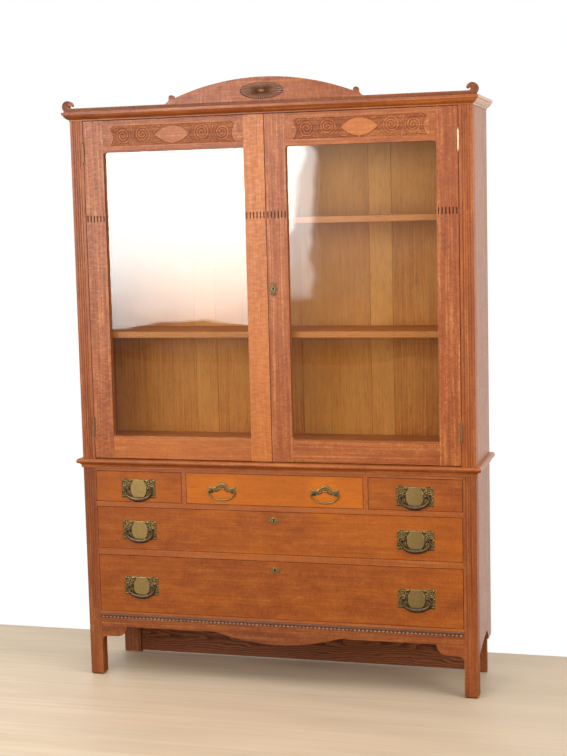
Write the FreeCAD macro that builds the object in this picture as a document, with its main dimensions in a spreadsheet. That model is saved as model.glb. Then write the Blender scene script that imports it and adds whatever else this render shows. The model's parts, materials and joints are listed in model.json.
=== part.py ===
import FreeCAD, Part
import math
import os

import Sketcher

# A glazed oak cabinet: two glass doors over a chest of five drawers, on four feet.
# Millimetres, +Z up, the front faces -Y, origin on the floor at the middle of the outline.

Vector = FreeCAD.Vector
Rotation = FreeCAD.Rotation

SIZES = {
    # carcass
    "case_width": 1300.0,
    "case_depth": 290.0,
    "post_width": 43.0,
    "post_depth": 40.0,
    "side_board": 12.0,
    "back_board": 12.0,
    "foot_chamfer": 6.0,
    "reed_pitch": 7.5,
    "reed_radius": 1.7,
    "reed_stop": 227.0,
    # heights of the base, from the floor up
    "apron_top": 198.0,
    "bottom_rail": 23.0,
    "low_row": 191.0,
    "low_rail": 21.0,
    "mid_row": 141.0,
    "mid_rail": 17.0,
    "top_row": 102.0,
    "top_rail": 10.0,
    "base_board": 20.0,
    # base inside
    "rail_depth": 45.0,
    "rear_leg_width": 60.0,
    "rear_leg_thick": 20.0,
    "back_lift": 4.0,
    "back_low_board": 222.0,
    "back_mid_board": 244.0,
    "divider_place": 294.0,
    "divider_thick": 15.0,
    "runner_wide": 30.0,
    "runner_thick": 16.0,
    "guide_high": 20.0,
    "stop_wide": 30.0,
    "stop_deep": 14.0,
    "stop_high": 5.0,
    # apron and side brackets
    "apron_thick": 18.0,
    "apron_set": 1.0,
    "apron_flat": 168.0,
    "bracket_low": 134.0,
    "bracket_long": 88.0,
    "bracket_corner": 20.0,
    "pendant_half": 240.0,
    "pendant_shoulder": 180.0,
    "pendant_shoulder_drop": 8.0,
    "pendant_drop": 32.0,
    "side_peak": 163.0,
    "side_peak_place": 108.0,
    "side_low": 130.0,
    "side_bow": 3.0,
    "side_rear_low": 126.0,
    "side_bracket_rear": 60.0,
    "bead_strip_high": 9.0,
    "bead_strip_out": 6.0,
    "bead_radius": 4.0,
    "bead_under_rail": 8.0,
    # waist moulding
    "waist_height": 30.0,
    "waist_out": 18.0,
    "waist_nose": 16.0,
    "waist_foot": 5.0,
    # upper case
    "upper_height": 1106.0,
    "top_board": 20.0,
    "head_rail": 60.0,
    "floor_lift": 42.0,
    "floor_board": 20.0,
    "stop_rail_gap": 2.0,
    "shelf_thick": 20.0,
    "low_shelf": 404.0,
    "high_shelf": 764.0,
    "shelf_set": 4.0,
    "cleat_high": 22.0,
    "cleat_thick": 15.0,
    "back_joint_outer": 342.0,
    "back_joint_inner": 267.0,
    "back_joint_middle": 34.0,
    # cornice and crest
    "cornice_height": 28.0,
    "cornice_out": 20.0,
    "cornice_in": 32.0,
    "cornice_foot": 4.0,
    "cornice_fillet": 9.0,
    "cornice_quirk": 3.5,
    "crest_thick": 18.0,
    "crest_set": 6.0,
    "crest_rail": 12.0,
    "crest_crown": 83.0,
    "crest_spring": 30.0,
    "crest_spring_place": 284.0,
    "knob_place": 297.0,
    "knob_rise": 31.0,
    "knob_radius": 8.2,
    "knob_sweep": 25.0,
    "scroll_radius": 18.0,
    "scroll_set": 1.0,
    "scroll_root": 11.0,
    "scroll_throat_place": 6.4,
    "scroll_throat_rise": 14.2,
    "scroll_notch_place": 4.6,
    "scroll_notch_rise": 18.4,
    "scroll_under_place": 8.6,
    "scroll_under_rise": 20.6,
    "scroll_lip_place": 12.6,
    "scroll_lip_rise": 18.2,
    "scroll_nose_place": 16.2,
    "scroll_nose_rise": 18.6,
    "patera_half_wide": 70.0,
    "patera_half_high": 26.0,
    "patera_rise": 41.0,
    "patera_thick": 5.0,
    # doors
    "door_thick": 22.0,
    "door_foot_gap": 3.0,
    "door_head_gap": 2.0,
    "hinge_gap": 2.0,
    "meeting_gap": 2.0,
    "stile": 67.0,
    "door_top_rail": 101.0,
    "door_low_rail": 72.0,
    "tenon_long": 35.0,
    "tenon_thick": 8.0,
    "tenon_shoulder": 14.0,
    "rebate": 9.0,
    "glass_set": 10.0,
    "glass_thick": 3.0,
    "bead_set": 1.0,
    "carving_long": 424.0,
    "carving_high": 66.0,
    "carving_deep": 2.5,
    "carving_under_top": 17.0,
    "gouge_wide": 4.2,
    "gouge_high": 22.0,
    "gouge_deep": 2.0,
    "gouge_under_head": 313.0,
    # door furniture
    "hinge_long": 60.0,
    "hinge_under_head": 103.0,
    "hinge_over_foot": 116.0,
    "hinge_leaf": 0.9,
    "hinge_leaf_deep": 19.0,
    "barrel_radius": 3.5,
    "barrel_stand": 4.0,
    "hinge_pin": 1.5,
    "finial_radius": 2.6,
    "lock_place": 561.0,
    "door_lock_deep": 28.0,
    "door_lock_high": 60.0,
    "door_lock_thick": 12.0,
    "door_lock_set": 6.0,
    "door_bolt_long": 20.0,
    "door_bolt_high": 16.0,
    "door_bolt_thick": 6.0,
    "bolt_throw": 8.0,
    "door_key_place": 17.0,
    "door_key_plate_wide": 15.0,
    "door_key_plate_high": 40.0,
    "flush_bolt_long": 110.0,
    "flush_bolt_wide": 14.0,
    "flush_bolt_radius": 3.5,
    "flush_bolt_throw": 10.0,
    # drawers
    "drawer_front": 20.0,
    "drawer_rear_gap": 22.0,
    "drawer_gap": 1.5,
    "drawer_side": 10.0,
    "drawer_back": 10.0,
    "drawer_bottom": 6.0,
    "bottom_lift": 9.0,
    "bottom_groove": 4.0,
    "side_below_top": 8.0,
    "back_below_top": 12.0,
    "dovetail_lap": 12.0,
    # drawer locks
    "lock_wide": 50.0,
    "lock_high": 36.0,
    "lock_thick": 12.0,
    "lock_bolt_wide": 18.0,
    "lock_bolt_high": 20.0,
    "lock_bolt_thick": 6.0,
    "key_plate_wide": 38.0,
    "key_plate_high": 22.0,
    "key_plate_thick": 1.5,
    "key_place": 28.0,
    "keyhole_wide": 3.0,
    "keyhole_high": 9.0,
    # pulls
    "pull_drop": 5.5,
    "wide_pull_inset": 148.0,
    "narrow_pull_inset": 123.0,
    "plate_wide": 117.0,
    "plate_high": 66.0,
    "plate_thick": 2.0,
    "plate_corner": 6.0,
    "arch_half": 46.0,
    "arch_rise": 26.0,
    "arch_foot": 7.0,
    "arch_shoulder": 21.0,
    "arch_hollow": 6.3,
    "arch_tail_rise": 16.8,
    "arch_tail_waist": 2.8,
    "post_half": 36.0,
    "pull_post": 4.5,
    "pull_post_out": 12.5,
    "pull_shank": 2.5,
    "pull_nut": 6.0,
    "pull_nut_thick": 4.0,
    "pivot_out": 8.5,
    "pivot_pin": 1.6,
    "wide_rod": 3.2,
    "wide_bail_drop": 38.0,
    "narrow_rod": 2.3,
    "narrow_bail_drop": 31.0,
    "bail_shoulder": 24.0,
    "bail_head": 4.0,
    # clearances
    "slide_gap": 0.4,
    "pivot_fit": 0.05,
    "bolt_fit": 0.3,
    "knuckle_gap": 0.2,
    "bail_gap": 0.4,
}

REED_COUNT = 4
GOUGE_COUNT = 6
BACK_ROWS = 3
# the middle of a quarter round of radius 1 lies this far from its centre, across and up
DIAGONAL = math.sqrt(0.5)
SWELL = 0.62
# where the crest runs into a knob, as an angle below the knob's centre
KNOB_TURN = math.radians(26)
# the tip, the middle of the upper curl and the neck of an end scroll, as angles round its eye
SCROLL_TIP = math.radians(167)
SCROLL_CROWN = math.radians(131)
SCROLL_NECK = math.radians(-46)
# the shoulder bend of a bail takes at most this share of its drop
SHOULDER_SHARE = 0.8


class Size:
    """A length that carries both its formula on the sheet and its present value."""

    def __init__(self, formula, value):
        self.formula = formula
        self.value = float(value)

    def mixed(self, sign, other, value):
        return Size(f"({self.formula} {sign} {as_size(other).formula})", value)

    def __add__(self, other):
        return self.mixed("+", other, self.value + float(other))

    def __sub__(self, other):
        return self.mixed("-", other, self.value - float(other))

    def __mul__(self, other):
        return self.mixed("*", other, self.value * float(other))

    def __truediv__(self, other):
        return self.mixed("/", other, self.value / float(other))

    def __radd__(self, other):
        return as_size(other) + self

    def __rsub__(self, other):
        return as_size(other) - self

    def __rmul__(self, other):
        return as_size(other) * self

    def __neg__(self):
        return Size(f"(0 - {self.formula})", -self.value)

    def __float__(self):
        return self.value


def as_size(number):
    return number if isinstance(number, Size) else Size(f"{float(number):.9f}", number)


class Dimensions:
    """The driving dimensions, one named Size for each cell of the sheet."""


def fill_sheet(sheet):
    for row, (name, value) in enumerate(SIZES.items(), start=1):
        sheet.set(f"A{row}", name)
        sheet.set(f"B{row}", str(value))
        sheet.setAlias(f"B{row}", name)
    doc.recompute()
    dims = Dimensions()
    for name in SIZES:
        setattr(dims, name, Size(f"dim.{name}", sheet.get(name)))
    return dims


doc = FreeCAD.newDocument("glazed_cabinet")
d = fill_sheet(doc.addObject("Spreadsheet::Sheet", "dim"))
nodes = []

# levels and planes that several pieces share
zero = as_size(0.0)
half = d.case_width / 2
front = (d.cornice_out - d.case_depth) / 2
back = front + d.case_depth
post_in = half - d.post_width
post_back = front + d.post_depth
panel_in = half - d.side_board
inner_back = back - d.back_board
z_low = d.apron_top + d.bottom_rail
z_low_rail = z_low + d.low_row
z_mid = z_low_rail + d.low_rail
z_mid_rail = z_mid + d.mid_row
z_top = z_mid_rail + d.mid_rail
z_top_rail = z_top + d.top_row
z_board = z_top_rail + d.top_rail
z_upper = z_board + d.base_board
z_waist = z_board + d.waist_height
z_cornice = z_upper + d.upper_height
z_crest = z_cornice + d.cornice_height
door_foot = z_waist + d.door_foot_gap
door_head = z_cornice - d.door_head_gap
door_out = post_in - d.hinge_gap
door_meet = d.meeting_gap / 2
scroll_place = half + d.cornice_out - d.scroll_set - d.scroll_radius


# Document helpers

def bind(item, **formulas):
    for prop, size in formulas.items():
        item.setExpression(prop.replace("__", "."), as_size(size).formula)


def place(item, x, y, z, rotation=None):
    if rotation:
        item.Placement = FreeCAD.Placement(Vector(), rotation)
    bind(item, Placement__Base__x=x, Placement__Base__y=y, Placement__Base__z=z)


def span(side, near, far):
    return (near, far) if side > 0 else (-far, -near)


def box(name, x, y, z):
    item = doc.addObject("Part::Box", name)
    bind(item, Length=x[1] - x[0], Width=y[1] - y[0], Height=z[1] - z[0])
    place(item, x[0], y[0], z[0])
    return item


TURNS = {
    "x": Rotation(Vector(0, 1, 0), 90),
    "y": Rotation(Vector(1, 0, 0), -90),
    "z": Rotation(),
}


def rod(name, axis, start, radius, length):
    item = doc.addObject("Part::Cylinder", name)
    bind(item, Radius=radius, Height=length)
    place(item, *start, TURNS[axis])
    return item


def ball(name, centre, radius):
    item = doc.addObject("Part::Sphere", name)
    bind(item, Radius=radius)
    place(item, *centre)
    return item


def joined(name, pieces):
    item = doc.addObject("Part::MultiFuse", name)
    item.Shapes = pieces
    return item


def cut(name, base, tools):
    item = doc.addObject("Part::Cut", name)
    item.Base = base
    item.Tool = tools[0] if len(tools) == 1 else joined(name + "_cutters", tools)
    return item


def common(name, base, tool):
    item = doc.addObject("Part::Common", name)
    item.Base = base
    item.Tool = tool
    return item


def node(label, pieces):
    item = doc.addObject("Part::Compound", label)
    item.Label = label
    item.Links = pieces
    nodes.append(item)
    return item


def flat(point):
    return Vector(float(point[0]), float(point[1]), 0)


def pin_point(sketch, geometry, corner, point):
    for kind, size in zip(("DistanceX", "DistanceY"), point):
        size = as_size(size)
        index = sketch.addConstraint(
            Sketcher.Constraint(kind, -1, 1, geometry, corner, size.value))
        sketch.setExpression(f"Constraints[{index}]", size.formula)


def clockwise(start, middle, end):
    first = flat(middle) - flat(start)
    second = flat(end) - flat(middle)
    return first.cross(second).z < 0


def draw(sketch, start, path):
    """A closed outline: each step is an end point, or a point on an arc and its end point."""
    at = start
    first = None
    last = None
    for step in path:
        end = step[-1]
        turned = len(step) == 2 and clockwise(at, *step)
        ends = (flat(end), flat(at)) if turned else (flat(at), flat(end))
        begin_corner, end_corner = (2, 1) if turned else (1, 2)
        if len(step) == 1:
            edge = sketch.addGeometry(Part.LineSegment(*ends), False)
        else:
            edge = sketch.addGeometry(Part.Arc(ends[0], flat(step[0]), ends[1]), False)
        if last is None:
            first = (edge, begin_corner)
        else:
            sketch.addConstraint(Sketcher.Constraint("Coincident", *last, edge, begin_corner))
        last = (edge, end_corner)
        if step is path[-1]:
            sketch.addConstraint(Sketcher.Constraint("Coincident", *last, *first))
        pin_point(sketch, edge, end_corner, end)
        if len(step) == 2:
            mark = sketch.addGeometry(Part.Point(flat(step[0])), True)
            sketch.addConstraint(Sketcher.Constraint("PointOnObject", mark, 1, edge))
            pin_point(sketch, mark, 1, step[0])
        at = end


PLANES = {"front": "XZ_Plane", "side": "YZ_Plane", "plan": "XY_Plane"}


def padded(name, plane, start, path, thick, at):
    """A board of this outline: drawn on a plane of its own body and padded along +Y, +X or +Z."""
    body = doc.addObject("PartDesign::Body", name)
    sketch = body.newObject("Sketcher::SketchObject", name + "_outline")
    role = PLANES[plane]
    support = [item for item in body.Origin.OriginFeatures if item.Role == role][0]
    sketch.AttachmentSupport = [(support, "")]
    sketch.MapMode = "FlatFace"
    draw(sketch, start, path)
    pad = body.newObject("PartDesign::Pad", name + "_pad")
    pad.Profile = sketch
    pad.Reversed = plane == "front"
    bind(pad, Length=thick)
    place(body, *at)
    return body


# Base carcass

def reeded_post(name, side, low, high, reed_low, chamfer):
    x = span(side, post_in, half)
    post = box(name, x, (front, post_back), (low + chamfer, high))
    if float(chamfer) > 0:
        post = joined(name + "_on_foot", [post, tapered_foot(name + "_foot", x, chamfer)])
    middle = (x[0] + x[1]) / 2
    reeds = []
    for count in range(REED_COUNT):
        place_x = middle + d.reed_pitch * (count - (REED_COUNT - 1) / 2)
        start = (place_x, front, reed_low)
        reeds.append(rod(f"{name}_reed_{count}", "z", start, d.reed_radius, high - reed_low))
    return cut(name + "_reeded", post, reeds)


def tapered_foot(name, x, chamfer):
    foot = doc.addObject("Part::Wedge", name)
    wide = x[1] - x[0]
    deep = post_back - front
    bind(foot, Xmin=chamfer, Xmax=wide - chamfer, Zmin=chamfer, Zmax=deep - chamfer, Ymin=0.0)
    bind(foot, X2min=0.0, X2max=wide, Z2min=0.0, Z2max=deep, Ymax=chamfer)
    place(foot, x[0], post_back, 0.0, Rotation(Vector(1, 0, 0), 90))
    return foot


def quarter(corner, radius, x_sign, z_sign):
    """The middle point of a quarter round about this centre."""
    reach = radius * DIAGONAL
    return (corner[0] + reach * x_sign, corner[1] + reach * z_sign)


def hollow(start, end):
    """The middle of a hollow quarter that leaves its start upright or its end level."""
    return (start[0] + (end[0] - start[0]) * (1 - DIAGONAL), start[1] + (end[1] - start[1]) * DIAGONAL)


def swell(start, end):
    """The middle of a flattened ovolo that rises from its start to its end."""
    return (start[0] + (end[0] - start[0]) * SWELL, start[1] + (end[1] - start[1]) * (1 - SWELL))


def side_board(name, side):
    """A board whose lower edge rises in a long bow from the front leg to a peak near the back."""
    foot = (post_back, d.side_low)
    peak = (back - d.side_peak_place, d.side_peak)
    bow = ((foot[0] + peak[0]) / 2, (foot[1] + peak[1]) / 2 + d.side_bow)
    rear = (back - d.side_bracket_rear, d.side_rear_low)
    path = [
        [bow, peak],
        [hollow(rear, peak), rear],
        [(back, d.side_rear_low)],
        [(back, z_board)],
        [(post_back, z_board)],
        [foot],
    ]
    x = span(side, panel_in, half)
    return padded(name, "side", foot, path, d.side_board, (x[0], 0.0, 0.0))


def build_base_frame():
    sides = ((-1, "left"), (1, "right"))
    node("front_legs", [
        reeded_post(f"{word}_front_leg", side, zero, z_board, d.reed_stop, d.foot_chamfer)
        for side, word in sides])
    rear_in = panel_in - d.rear_leg_width
    rear_y = (back - d.rear_leg_thick, back)
    node("rear_legs", [
        box(f"{word}_rear_leg", span(side, rear_in, panel_in), rear_y, (zero, z_board))
        for side, word in sides])
    node("base_sides", [side_board(f"{word}_base_side", side) for side, word in sides])
    back_z = [d.back_lift, d.back_lift + d.back_low_board]
    back_z += [back_z[1] + d.back_mid_board, z_board]
    node("base_back_boards", [
        box(f"base_back_board_{row}", (-rear_in, rear_in), (inner_back, back),
            (back_z[row], back_z[row + 1]))
        for row in range(BACK_ROWS)])


def bolt_mortise(name, z):
    """The pocket in a rail that the lock bolt of the drawer below shoots into."""
    wide = d.lock_bolt_wide / 2 + d.bolt_fit
    middle = lock_middle()
    deep = d.lock_bolt_thick / 2 + d.bolt_fit
    return box(name, (-wide, wide), (middle - deep, middle + deep), (z, z + d.bolt_throw))


def lock_middle():
    return front + d.drawer_front - d.lock_thick / 2


def build_rails():
    x = (-post_in, post_in)
    y = (front, front + d.rail_depth)
    low = box("low_rail", x, y, (z_low_rail, z_mid))
    mid = box("mid_rail", x, y, (z_mid_rail, z_top))
    dividers = [
        box(f"{word}_divider", span(side, d.divider_place, d.divider_place + d.divider_thick),
            (front, inner_back), (z_top, z_top_rail))
        for side, word in ((-1, "left"), (1, "right"))]
    node("drawer_rails", [
        box("bottom_rail", x, y, (d.apron_top, z_low)),
        cut("low_rail_mortised", low, [bolt_mortise("low_rail_mortise", z_low_rail)]),
        cut("mid_rail_mortised", mid, [bolt_mortise("mid_rail_mortise", z_mid_rail)]),
        box("top_rail", x, y, (z_top_rail, z_board))] + dividers)


def build_runners():
    y = (front + d.rail_depth, back - d.rear_leg_thick)
    guide_y = (post_back, back - d.rear_leg_thick)
    runners = []
    guides = []
    for row, level in (("low", z_low), ("mid", z_mid), ("top", z_top)):
        for side, word in ((-1, "left"), (1, "right")):
            z = (level - d.runner_thick, level)
            x = span(side, post_in - d.runner_wide, panel_in)
            runners.append(box(f"{row}_{word}_runner", x, y, z))
            guides.append(box(f"{row}_{word}_guide", span(side, post_in, panel_in), guide_y,
                              (level, level + d.guide_high)))
    middle = d.divider_place + d.divider_thick / 2
    for side, word in ((-1, "left"), (1, "right")):
        x = span(side, middle - d.runner_wide, middle + d.runner_wide)
        runners.append(box(f"{word}_divider_runner", x, y, (z_top - d.runner_thick, z_top)))
    stops = [box(f"drawer_stop_{count}", *stop) for count, stop in enumerate(stop_places())]
    node("drawer_runners", runners + guides + stops)


def stop_places():
    """Two small blocks on the rail behind each drawer front."""
    y = front + d.drawer_front + d.slide_gap
    for x0, x1, level in drawer_spans():
        for edge, side in ((x0, 1), (x1, -1)):
            inset = d.runner_wide + d.stop_wide
            near = edge + inset * side
            far = near + d.stop_wide * side
            x = (near, far) if side > 0 else (far, near)
            yield x, (y, y + d.stop_deep), (level, level + d.stop_high)


def drawer_spans():
    inner = d.divider_place
    outer = d.divider_place + d.divider_thick
    return (
        (-post_in, -outer, z_top),
        (-inner, inner, z_top),
        (outer, post_in, z_top),
        (-post_in, post_in, z_mid),
        (-post_in, post_in, z_low),
    )


def apron_outline():
    end = d.bracket_low
    inner = post_in - d.bracket_long
    lift = d.apron_flat - d.bracket_low
    corner = d.bracket_corner
    shoulder = (d.pendant_shoulder, d.apron_flat - d.pendant_shoulder_drop)
    spring = (d.pendant_half, d.apron_flat)
    bend = hollow(shoulder, spring)
    right = [
        [bend, spring],
        [(inner, d.apron_flat)],
        [quarter((inner + lift, d.apron_flat), lift, -1, -1), (inner + lift, end)],
        [(post_in - corner, end)],
        [quarter((post_in - corner, end - corner), corner, 1, 1), (post_in, end - corner)],
        [(post_in, d.apron_top)],
    ]
    left = [
        [(-post_in, end - corner)],
        [quarter((corner - post_in, end - corner), corner, -1, 1), (corner - post_in, end)],
        [(-inner - lift, end)],
        [quarter((-inner - lift, d.apron_flat), lift, 1, -1), (-inner, d.apron_flat)],
        [(-d.pendant_half, d.apron_flat)],
        [(-bend[0], bend[1]), (-shoulder[0], shoulder[1])],
        [(zero, d.apron_flat - d.pendant_drop), shoulder],
    ]
    return shoulder, right + [[(-post_in, d.apron_top)]] + left


def build_apron():
    start, path = apron_outline()
    y = front + d.apron_set
    node("apron", [padded("apron_board", "front", start, path, d.apron_thick, (0.0, y, 0.0))])
    top = z_low - d.bead_under_rail
    strip_z = (top - d.bead_strip_high, top)
    strip = box("bead_strip", (-post_in, post_in), (front - d.bead_strip_out, front), strip_z)
    middle = (-post_in, front, strip_z[0] - d.bead_radius)
    roll = rod("bead_roll", "x", middle, d.bead_radius, post_in * 2)
    ahead = box("bead_roll_front", (-post_in, post_in), (front - d.bead_radius * 2, front),
                (strip_z[0] - d.bead_radius * 2, strip_z[0]))
    node("bead_moulding", [
        joined("bead_strip_and_roll", [strip, common("bead_half_roll", roll, ahead)])])


# Mouldings

def mitred_runs(name, outline, height, out, inside):
    """Three lengths of one profile round the front and both sides, mitred at the front corners."""
    fore = front - out
    pieces = []
    run = padded(name + "_front_run", "side", *outline(front, -1), (half + out) * 2,
                 (-(half + out), 0.0, height))
    plan = [[(half + out, fore)], [(half - inside, front + inside)],
            [(-half + inside, front + inside)], [(-half - out, fore)]]
    prism = padded(name + "_front_plan", "plan", (-half - out, fore), plan, d.upper_height,
                   (0.0, 0.0, height))
    pieces.append(common(name + "_front", run, prism))
    for side, word in ((-1, "left"), (1, "right")):
        run = padded(f"{name}_{word}_run", "front", *outline(half * side, side),
                     d.case_depth + out, (0.0, fore, height))
        corner = ((half + out) * side, fore)
        plan = [[((half + out) * side, back)], [((half - inside) * side, back)],
                [((half - inside) * side, front + inside)], [corner]]
        prism = padded(f"{name}_{word}_plan", "plan", corner, plan, d.upper_height,
                       (0.0, 0.0, height))
        pieces.append(common(f"{name}_{word}", run, prism))
    return pieces


def waist_outline(face, way):
    """Cove below, round nose above; `way` is the sign of the outward direction."""
    nose = d.waist_nose / 2
    under = d.waist_height - d.waist_nose
    lip = d.waist_out - nose
    foot = (face + d.waist_foot * way, zero)
    cove_end = (face + lip * way, under)
    path = [
        [foot],
        [hollow(foot, cove_end), cove_end],
        [(face + d.waist_out * way, under + nose), (face + lip * way, d.waist_height)],
        [(face, d.waist_height)],
        [(face, zero)],
    ]
    return (face, zero), path


def cornice_outline(face, way):
    """A small foot, a flattened ovolo, a quirk and a square top fillet."""
    lip = d.cornice_height - d.cornice_fillet
    step = d.cornice_foot / 2
    foot = (face + step * way, d.cornice_foot)
    swell_end = (face + (d.cornice_out - d.cornice_quirk) * way, lip)
    inner = face - d.cornice_in * way
    path = [
        [(foot[0], zero)],
        [foot],
        [swell(foot, swell_end), swell_end],
        [(face + d.cornice_out * way, lip)],
        [(face + d.cornice_out * way, d.cornice_height)],
        [(inner, d.cornice_height)],
        [(inner, zero)],
    ]
    return (inner, zero), path


def build_mouldings():
    node("base_top", [box("base_top_board", (-half, half), (front, back), (z_board, z_upper))])
    node("waist_moulding", mitred_runs("waist", waist_outline, z_board, d.waist_out, zero))
    lengths = mitred_runs("cornice", cornice_outline, z_cornice, d.cornice_out, d.cornice_in)
    x, y = flush_bolt_place()
    hole = rod("cornice_bolt_hole", "z", (x, y, z_cornice), d.flush_bolt_radius + d.bolt_fit,
               d.flush_bolt_throw)
    lengths[0] = cut("cornice_front_bored", lengths[0], [hole])
    node("cornice", lengths)


# Upper case

def build_upper_case():
    sides = ((-1, "left"), (1, "right"))
    node("pilasters", [
        reeded_post(f"{word}_pilaster", side, z_upper, z_cornice, z_upper, zero)
        for side, word in sides])
    z = (z_upper, z_cornice)
    node("upper_sides", [
        box(f"{word}_upper_side", span(side, panel_in, half), (post_back, back), z)
        for side, word in sides])
    inside = (-panel_in, panel_in)
    deep = (post_back, inner_back)
    stop_y = (front + d.door_thick + d.stop_rail_gap, post_back)
    between = (-post_in, post_in)
    node("case_top", [
        box("case_top_board", inside, deep, (z_cornice - d.top_board, z_cornice)),
        box("head_stop_rail", between, stop_y, (z_cornice - d.head_rail, z_cornice))])
    floor = z_upper + d.floor_lift
    node("case_floor", [
        box("case_floor_board", inside, deep, (floor, floor + d.floor_board)),
        box("floor_stop_rail", between, stop_y, (z_upper, floor + d.floor_board))])
    edges = [-panel_in, -d.back_joint_outer, -d.back_joint_inner, d.back_joint_middle,
             d.back_joint_inner, d.back_joint_outer, panel_in]
    node("upper_back_boards", [
        box(f"upper_back_board_{count}", (edges[count], edges[count + 1]), (inner_back, back), z)
        for count in range(len(edges) - 1)])
    build_shelves(inside)


def build_shelves(inside):
    y = (post_back + d.shelf_set, inner_back)
    shelves = []
    cleats = []
    for word, rise in (("low", d.low_shelf), ("high", d.high_shelf)):
        level = z_upper + rise
        shelves.append(box(f"{word}_shelf", inside, y, (level, level + d.shelf_thick)))
        for side, hand in ((-1, "left"), (1, "right")):
            x = span(side, panel_in - d.cleat_thick, panel_in)
            cleats.append(box(f"{word}_{hand}_cleat", x, y, (level - d.cleat_high, level)))
    node("shelves", shelves + cleats)


def on_scroll(angle):
    """A point on the round of the end scroll, as an angle about its eye."""
    radius = d.scroll_radius
    return (scroll_place + radius * math.cos(angle), radius + radius * math.sin(angle))


def crest_half(way):
    """One half of the crest's top edge, from the spring of the arch out to the scroll at the end."""
    across = d.knob_radius * math.cos(KNOB_TURN)
    level = d.knob_rise - d.knob_radius * math.sin(KNOB_TURN)
    foot = (d.knob_place + across, level)
    sweep_end = (foot[0] + d.knob_sweep, d.crest_rail)
    root = (scroll_place - d.scroll_root, d.crest_rail)
    throat = (scroll_place - d.scroll_throat_place, d.scroll_throat_rise)
    notch = (scroll_place - d.scroll_notch_place, d.scroll_notch_rise)
    under = (scroll_place - d.scroll_under_place, d.scroll_under_rise)
    lip = (scroll_place - d.scroll_lip_place, d.scroll_lip_rise)
    nose = (scroll_place - d.scroll_nose_place, d.scroll_nose_rise)
    steps = [
        [(d.knob_place - across, level)],
        [(d.knob_place, d.knob_rise + d.knob_radius), foot],
        [hollow(foot, sweep_end), sweep_end],
        [root],
        [throat, notch],
        [under, lip],
        [nose, on_scroll(SCROLL_TIP)],
        [on_scroll(SCROLL_CROWN), on_scroll(math.pi / 2)],
        [on_scroll(0.0), on_scroll(SCROLL_NECK)],
        [(on_scroll(SCROLL_NECK)[0], zero)],
    ]
    return [[(point[0] * way, point[1]) for point in step] for step in steps]


def reversed_path(start, path):
    corners = [start] + [step[-1] for step in path]
    turned = []
    for count in range(len(path) - 1, -1, -1):
        turned.append(path[count][:-1] + [corners[count]])
    return corners[-1], turned


def build_crest():
    right = crest_half(1)
    right_start = (d.crest_spring_place, d.crest_spring)
    left_start = (-d.crest_spring_place, d.crest_spring)
    crown = (zero, d.crest_crown)
    bottom_left, left = reversed_path(left_start, crest_half(-1))
    path = right + [[bottom_left]] + left + [[crown, right_start]]
    y = front - d.cornice_out + d.crest_set
    board = padded("crest_outline", "front", right_start, path, d.crest_thick, (0.0, y, z_crest))
    node("crest_board", [board])
    disc = doc.addObject("Part::Ellipsoid", "patera_dome")
    bind(disc, Radius1=d.patera_thick, Radius2=d.patera_half_wide, Radius3=d.patera_half_high)
    place(disc, 0.0, y, z_crest + d.patera_rise, Rotation(Vector(0, 0, 1), Vector(0, -1, 0)))
    face = box("patera_front", (-d.patera_half_wide, d.patera_half_wide), (y - d.patera_thick, y),
               (z_crest, z_crest + d.crest_crown))
    node("patera", [common("patera_disc", disc, face)])


# Doors

def flush_bolt_place():
    x = -(door_meet + d.flush_bolt_wide / 2)
    return x, front + d.door_thick / 2


def door_frame(word, side):
    y = (front, front + d.door_thick)
    z = (door_foot, door_head)
    glass_x = (door_meet + d.stile, door_out - d.stile)
    glass_z = (door_foot + d.door_low_rail, door_head - d.door_top_rail)
    rebate_x = span(side, glass_x[0] - d.rebate, glass_x[1] + d.rebate)
    rebate_z = (glass_z[0] - d.rebate, glass_z[1] + d.rebate)
    rebate_y = (front + d.glass_set, front + d.door_thick)
    tenon_y = (front + d.glass_set - d.tenon_thick, front + d.glass_set)
    shoulder = d.tenon_shoulder
    rails = []
    mortises = {"hinge": [], "meeting": []}
    for place_word, low, high in (("low", z[0], glass_z[0]), ("top", glass_z[1], z[1])):
        name = f"{word}_{place_word}_rail"
        tongue_z = (low + shoulder, high - shoulder)
        ends = (glass_x[0] - d.tenon_long, glass_x[1] + d.tenon_long)
        tongue = box(name + "_tenons", span(side, *ends), tenon_y, tongue_z)
        blank = box(name, span(side, *glass_x), y, (low, high))
        cutters = [box(name + "_rebate", rebate_x, rebate_y, rebate_z)]
        if place_word == "top":
            cutters.append(carving_ground(name + "_ground", side, glass_x))
        rails.append(cut(name + "_cut", joined(name + "_blank", [blank, tongue]), cutters))
        for stile_word, x in (("meeting", (ends[0], glass_x[0])), ("hinge", (glass_x[1], ends[1]))):
            mortise = box(f"{name}_{stile_word}_mortise", span(side, *x), tenon_y, tongue_z)
            mortises[stile_word].append(mortise)
    stiles = []
    spans = {"meeting": (door_meet, glass_x[0]), "hinge": (glass_x[1], door_out)}
    for stile_word, x in spans.items():
        name = f"{word}_{stile_word}_stile"
        cutters = mortises[stile_word] + gouges(name, side, x)
        cutters.append(box(name + "_rebate", rebate_x, rebate_y, rebate_z))
        if stile_word == "meeting":
            cutters.append(lock_pocket(word, side))
        stiles.append(cut(name + "_cut", box(name, span(side, *x), y, z), cutters))
    node(f"{word}_door_stiles", stiles)
    node(f"{word}_door_rails", rails)
    glaze_door(word, rebate_x, rebate_z, span(side, *glass_x), glass_z)


def carving_ground(name, side, glass_x):
    middle = (glass_x[0] + glass_x[1]) / 2
    x = span(side, middle - d.carving_long / 2, middle + d.carving_long / 2)
    top = door_head - d.carving_under_top
    return box(name, x, (front, front + d.carving_deep), (top - d.carving_high, top))


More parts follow.
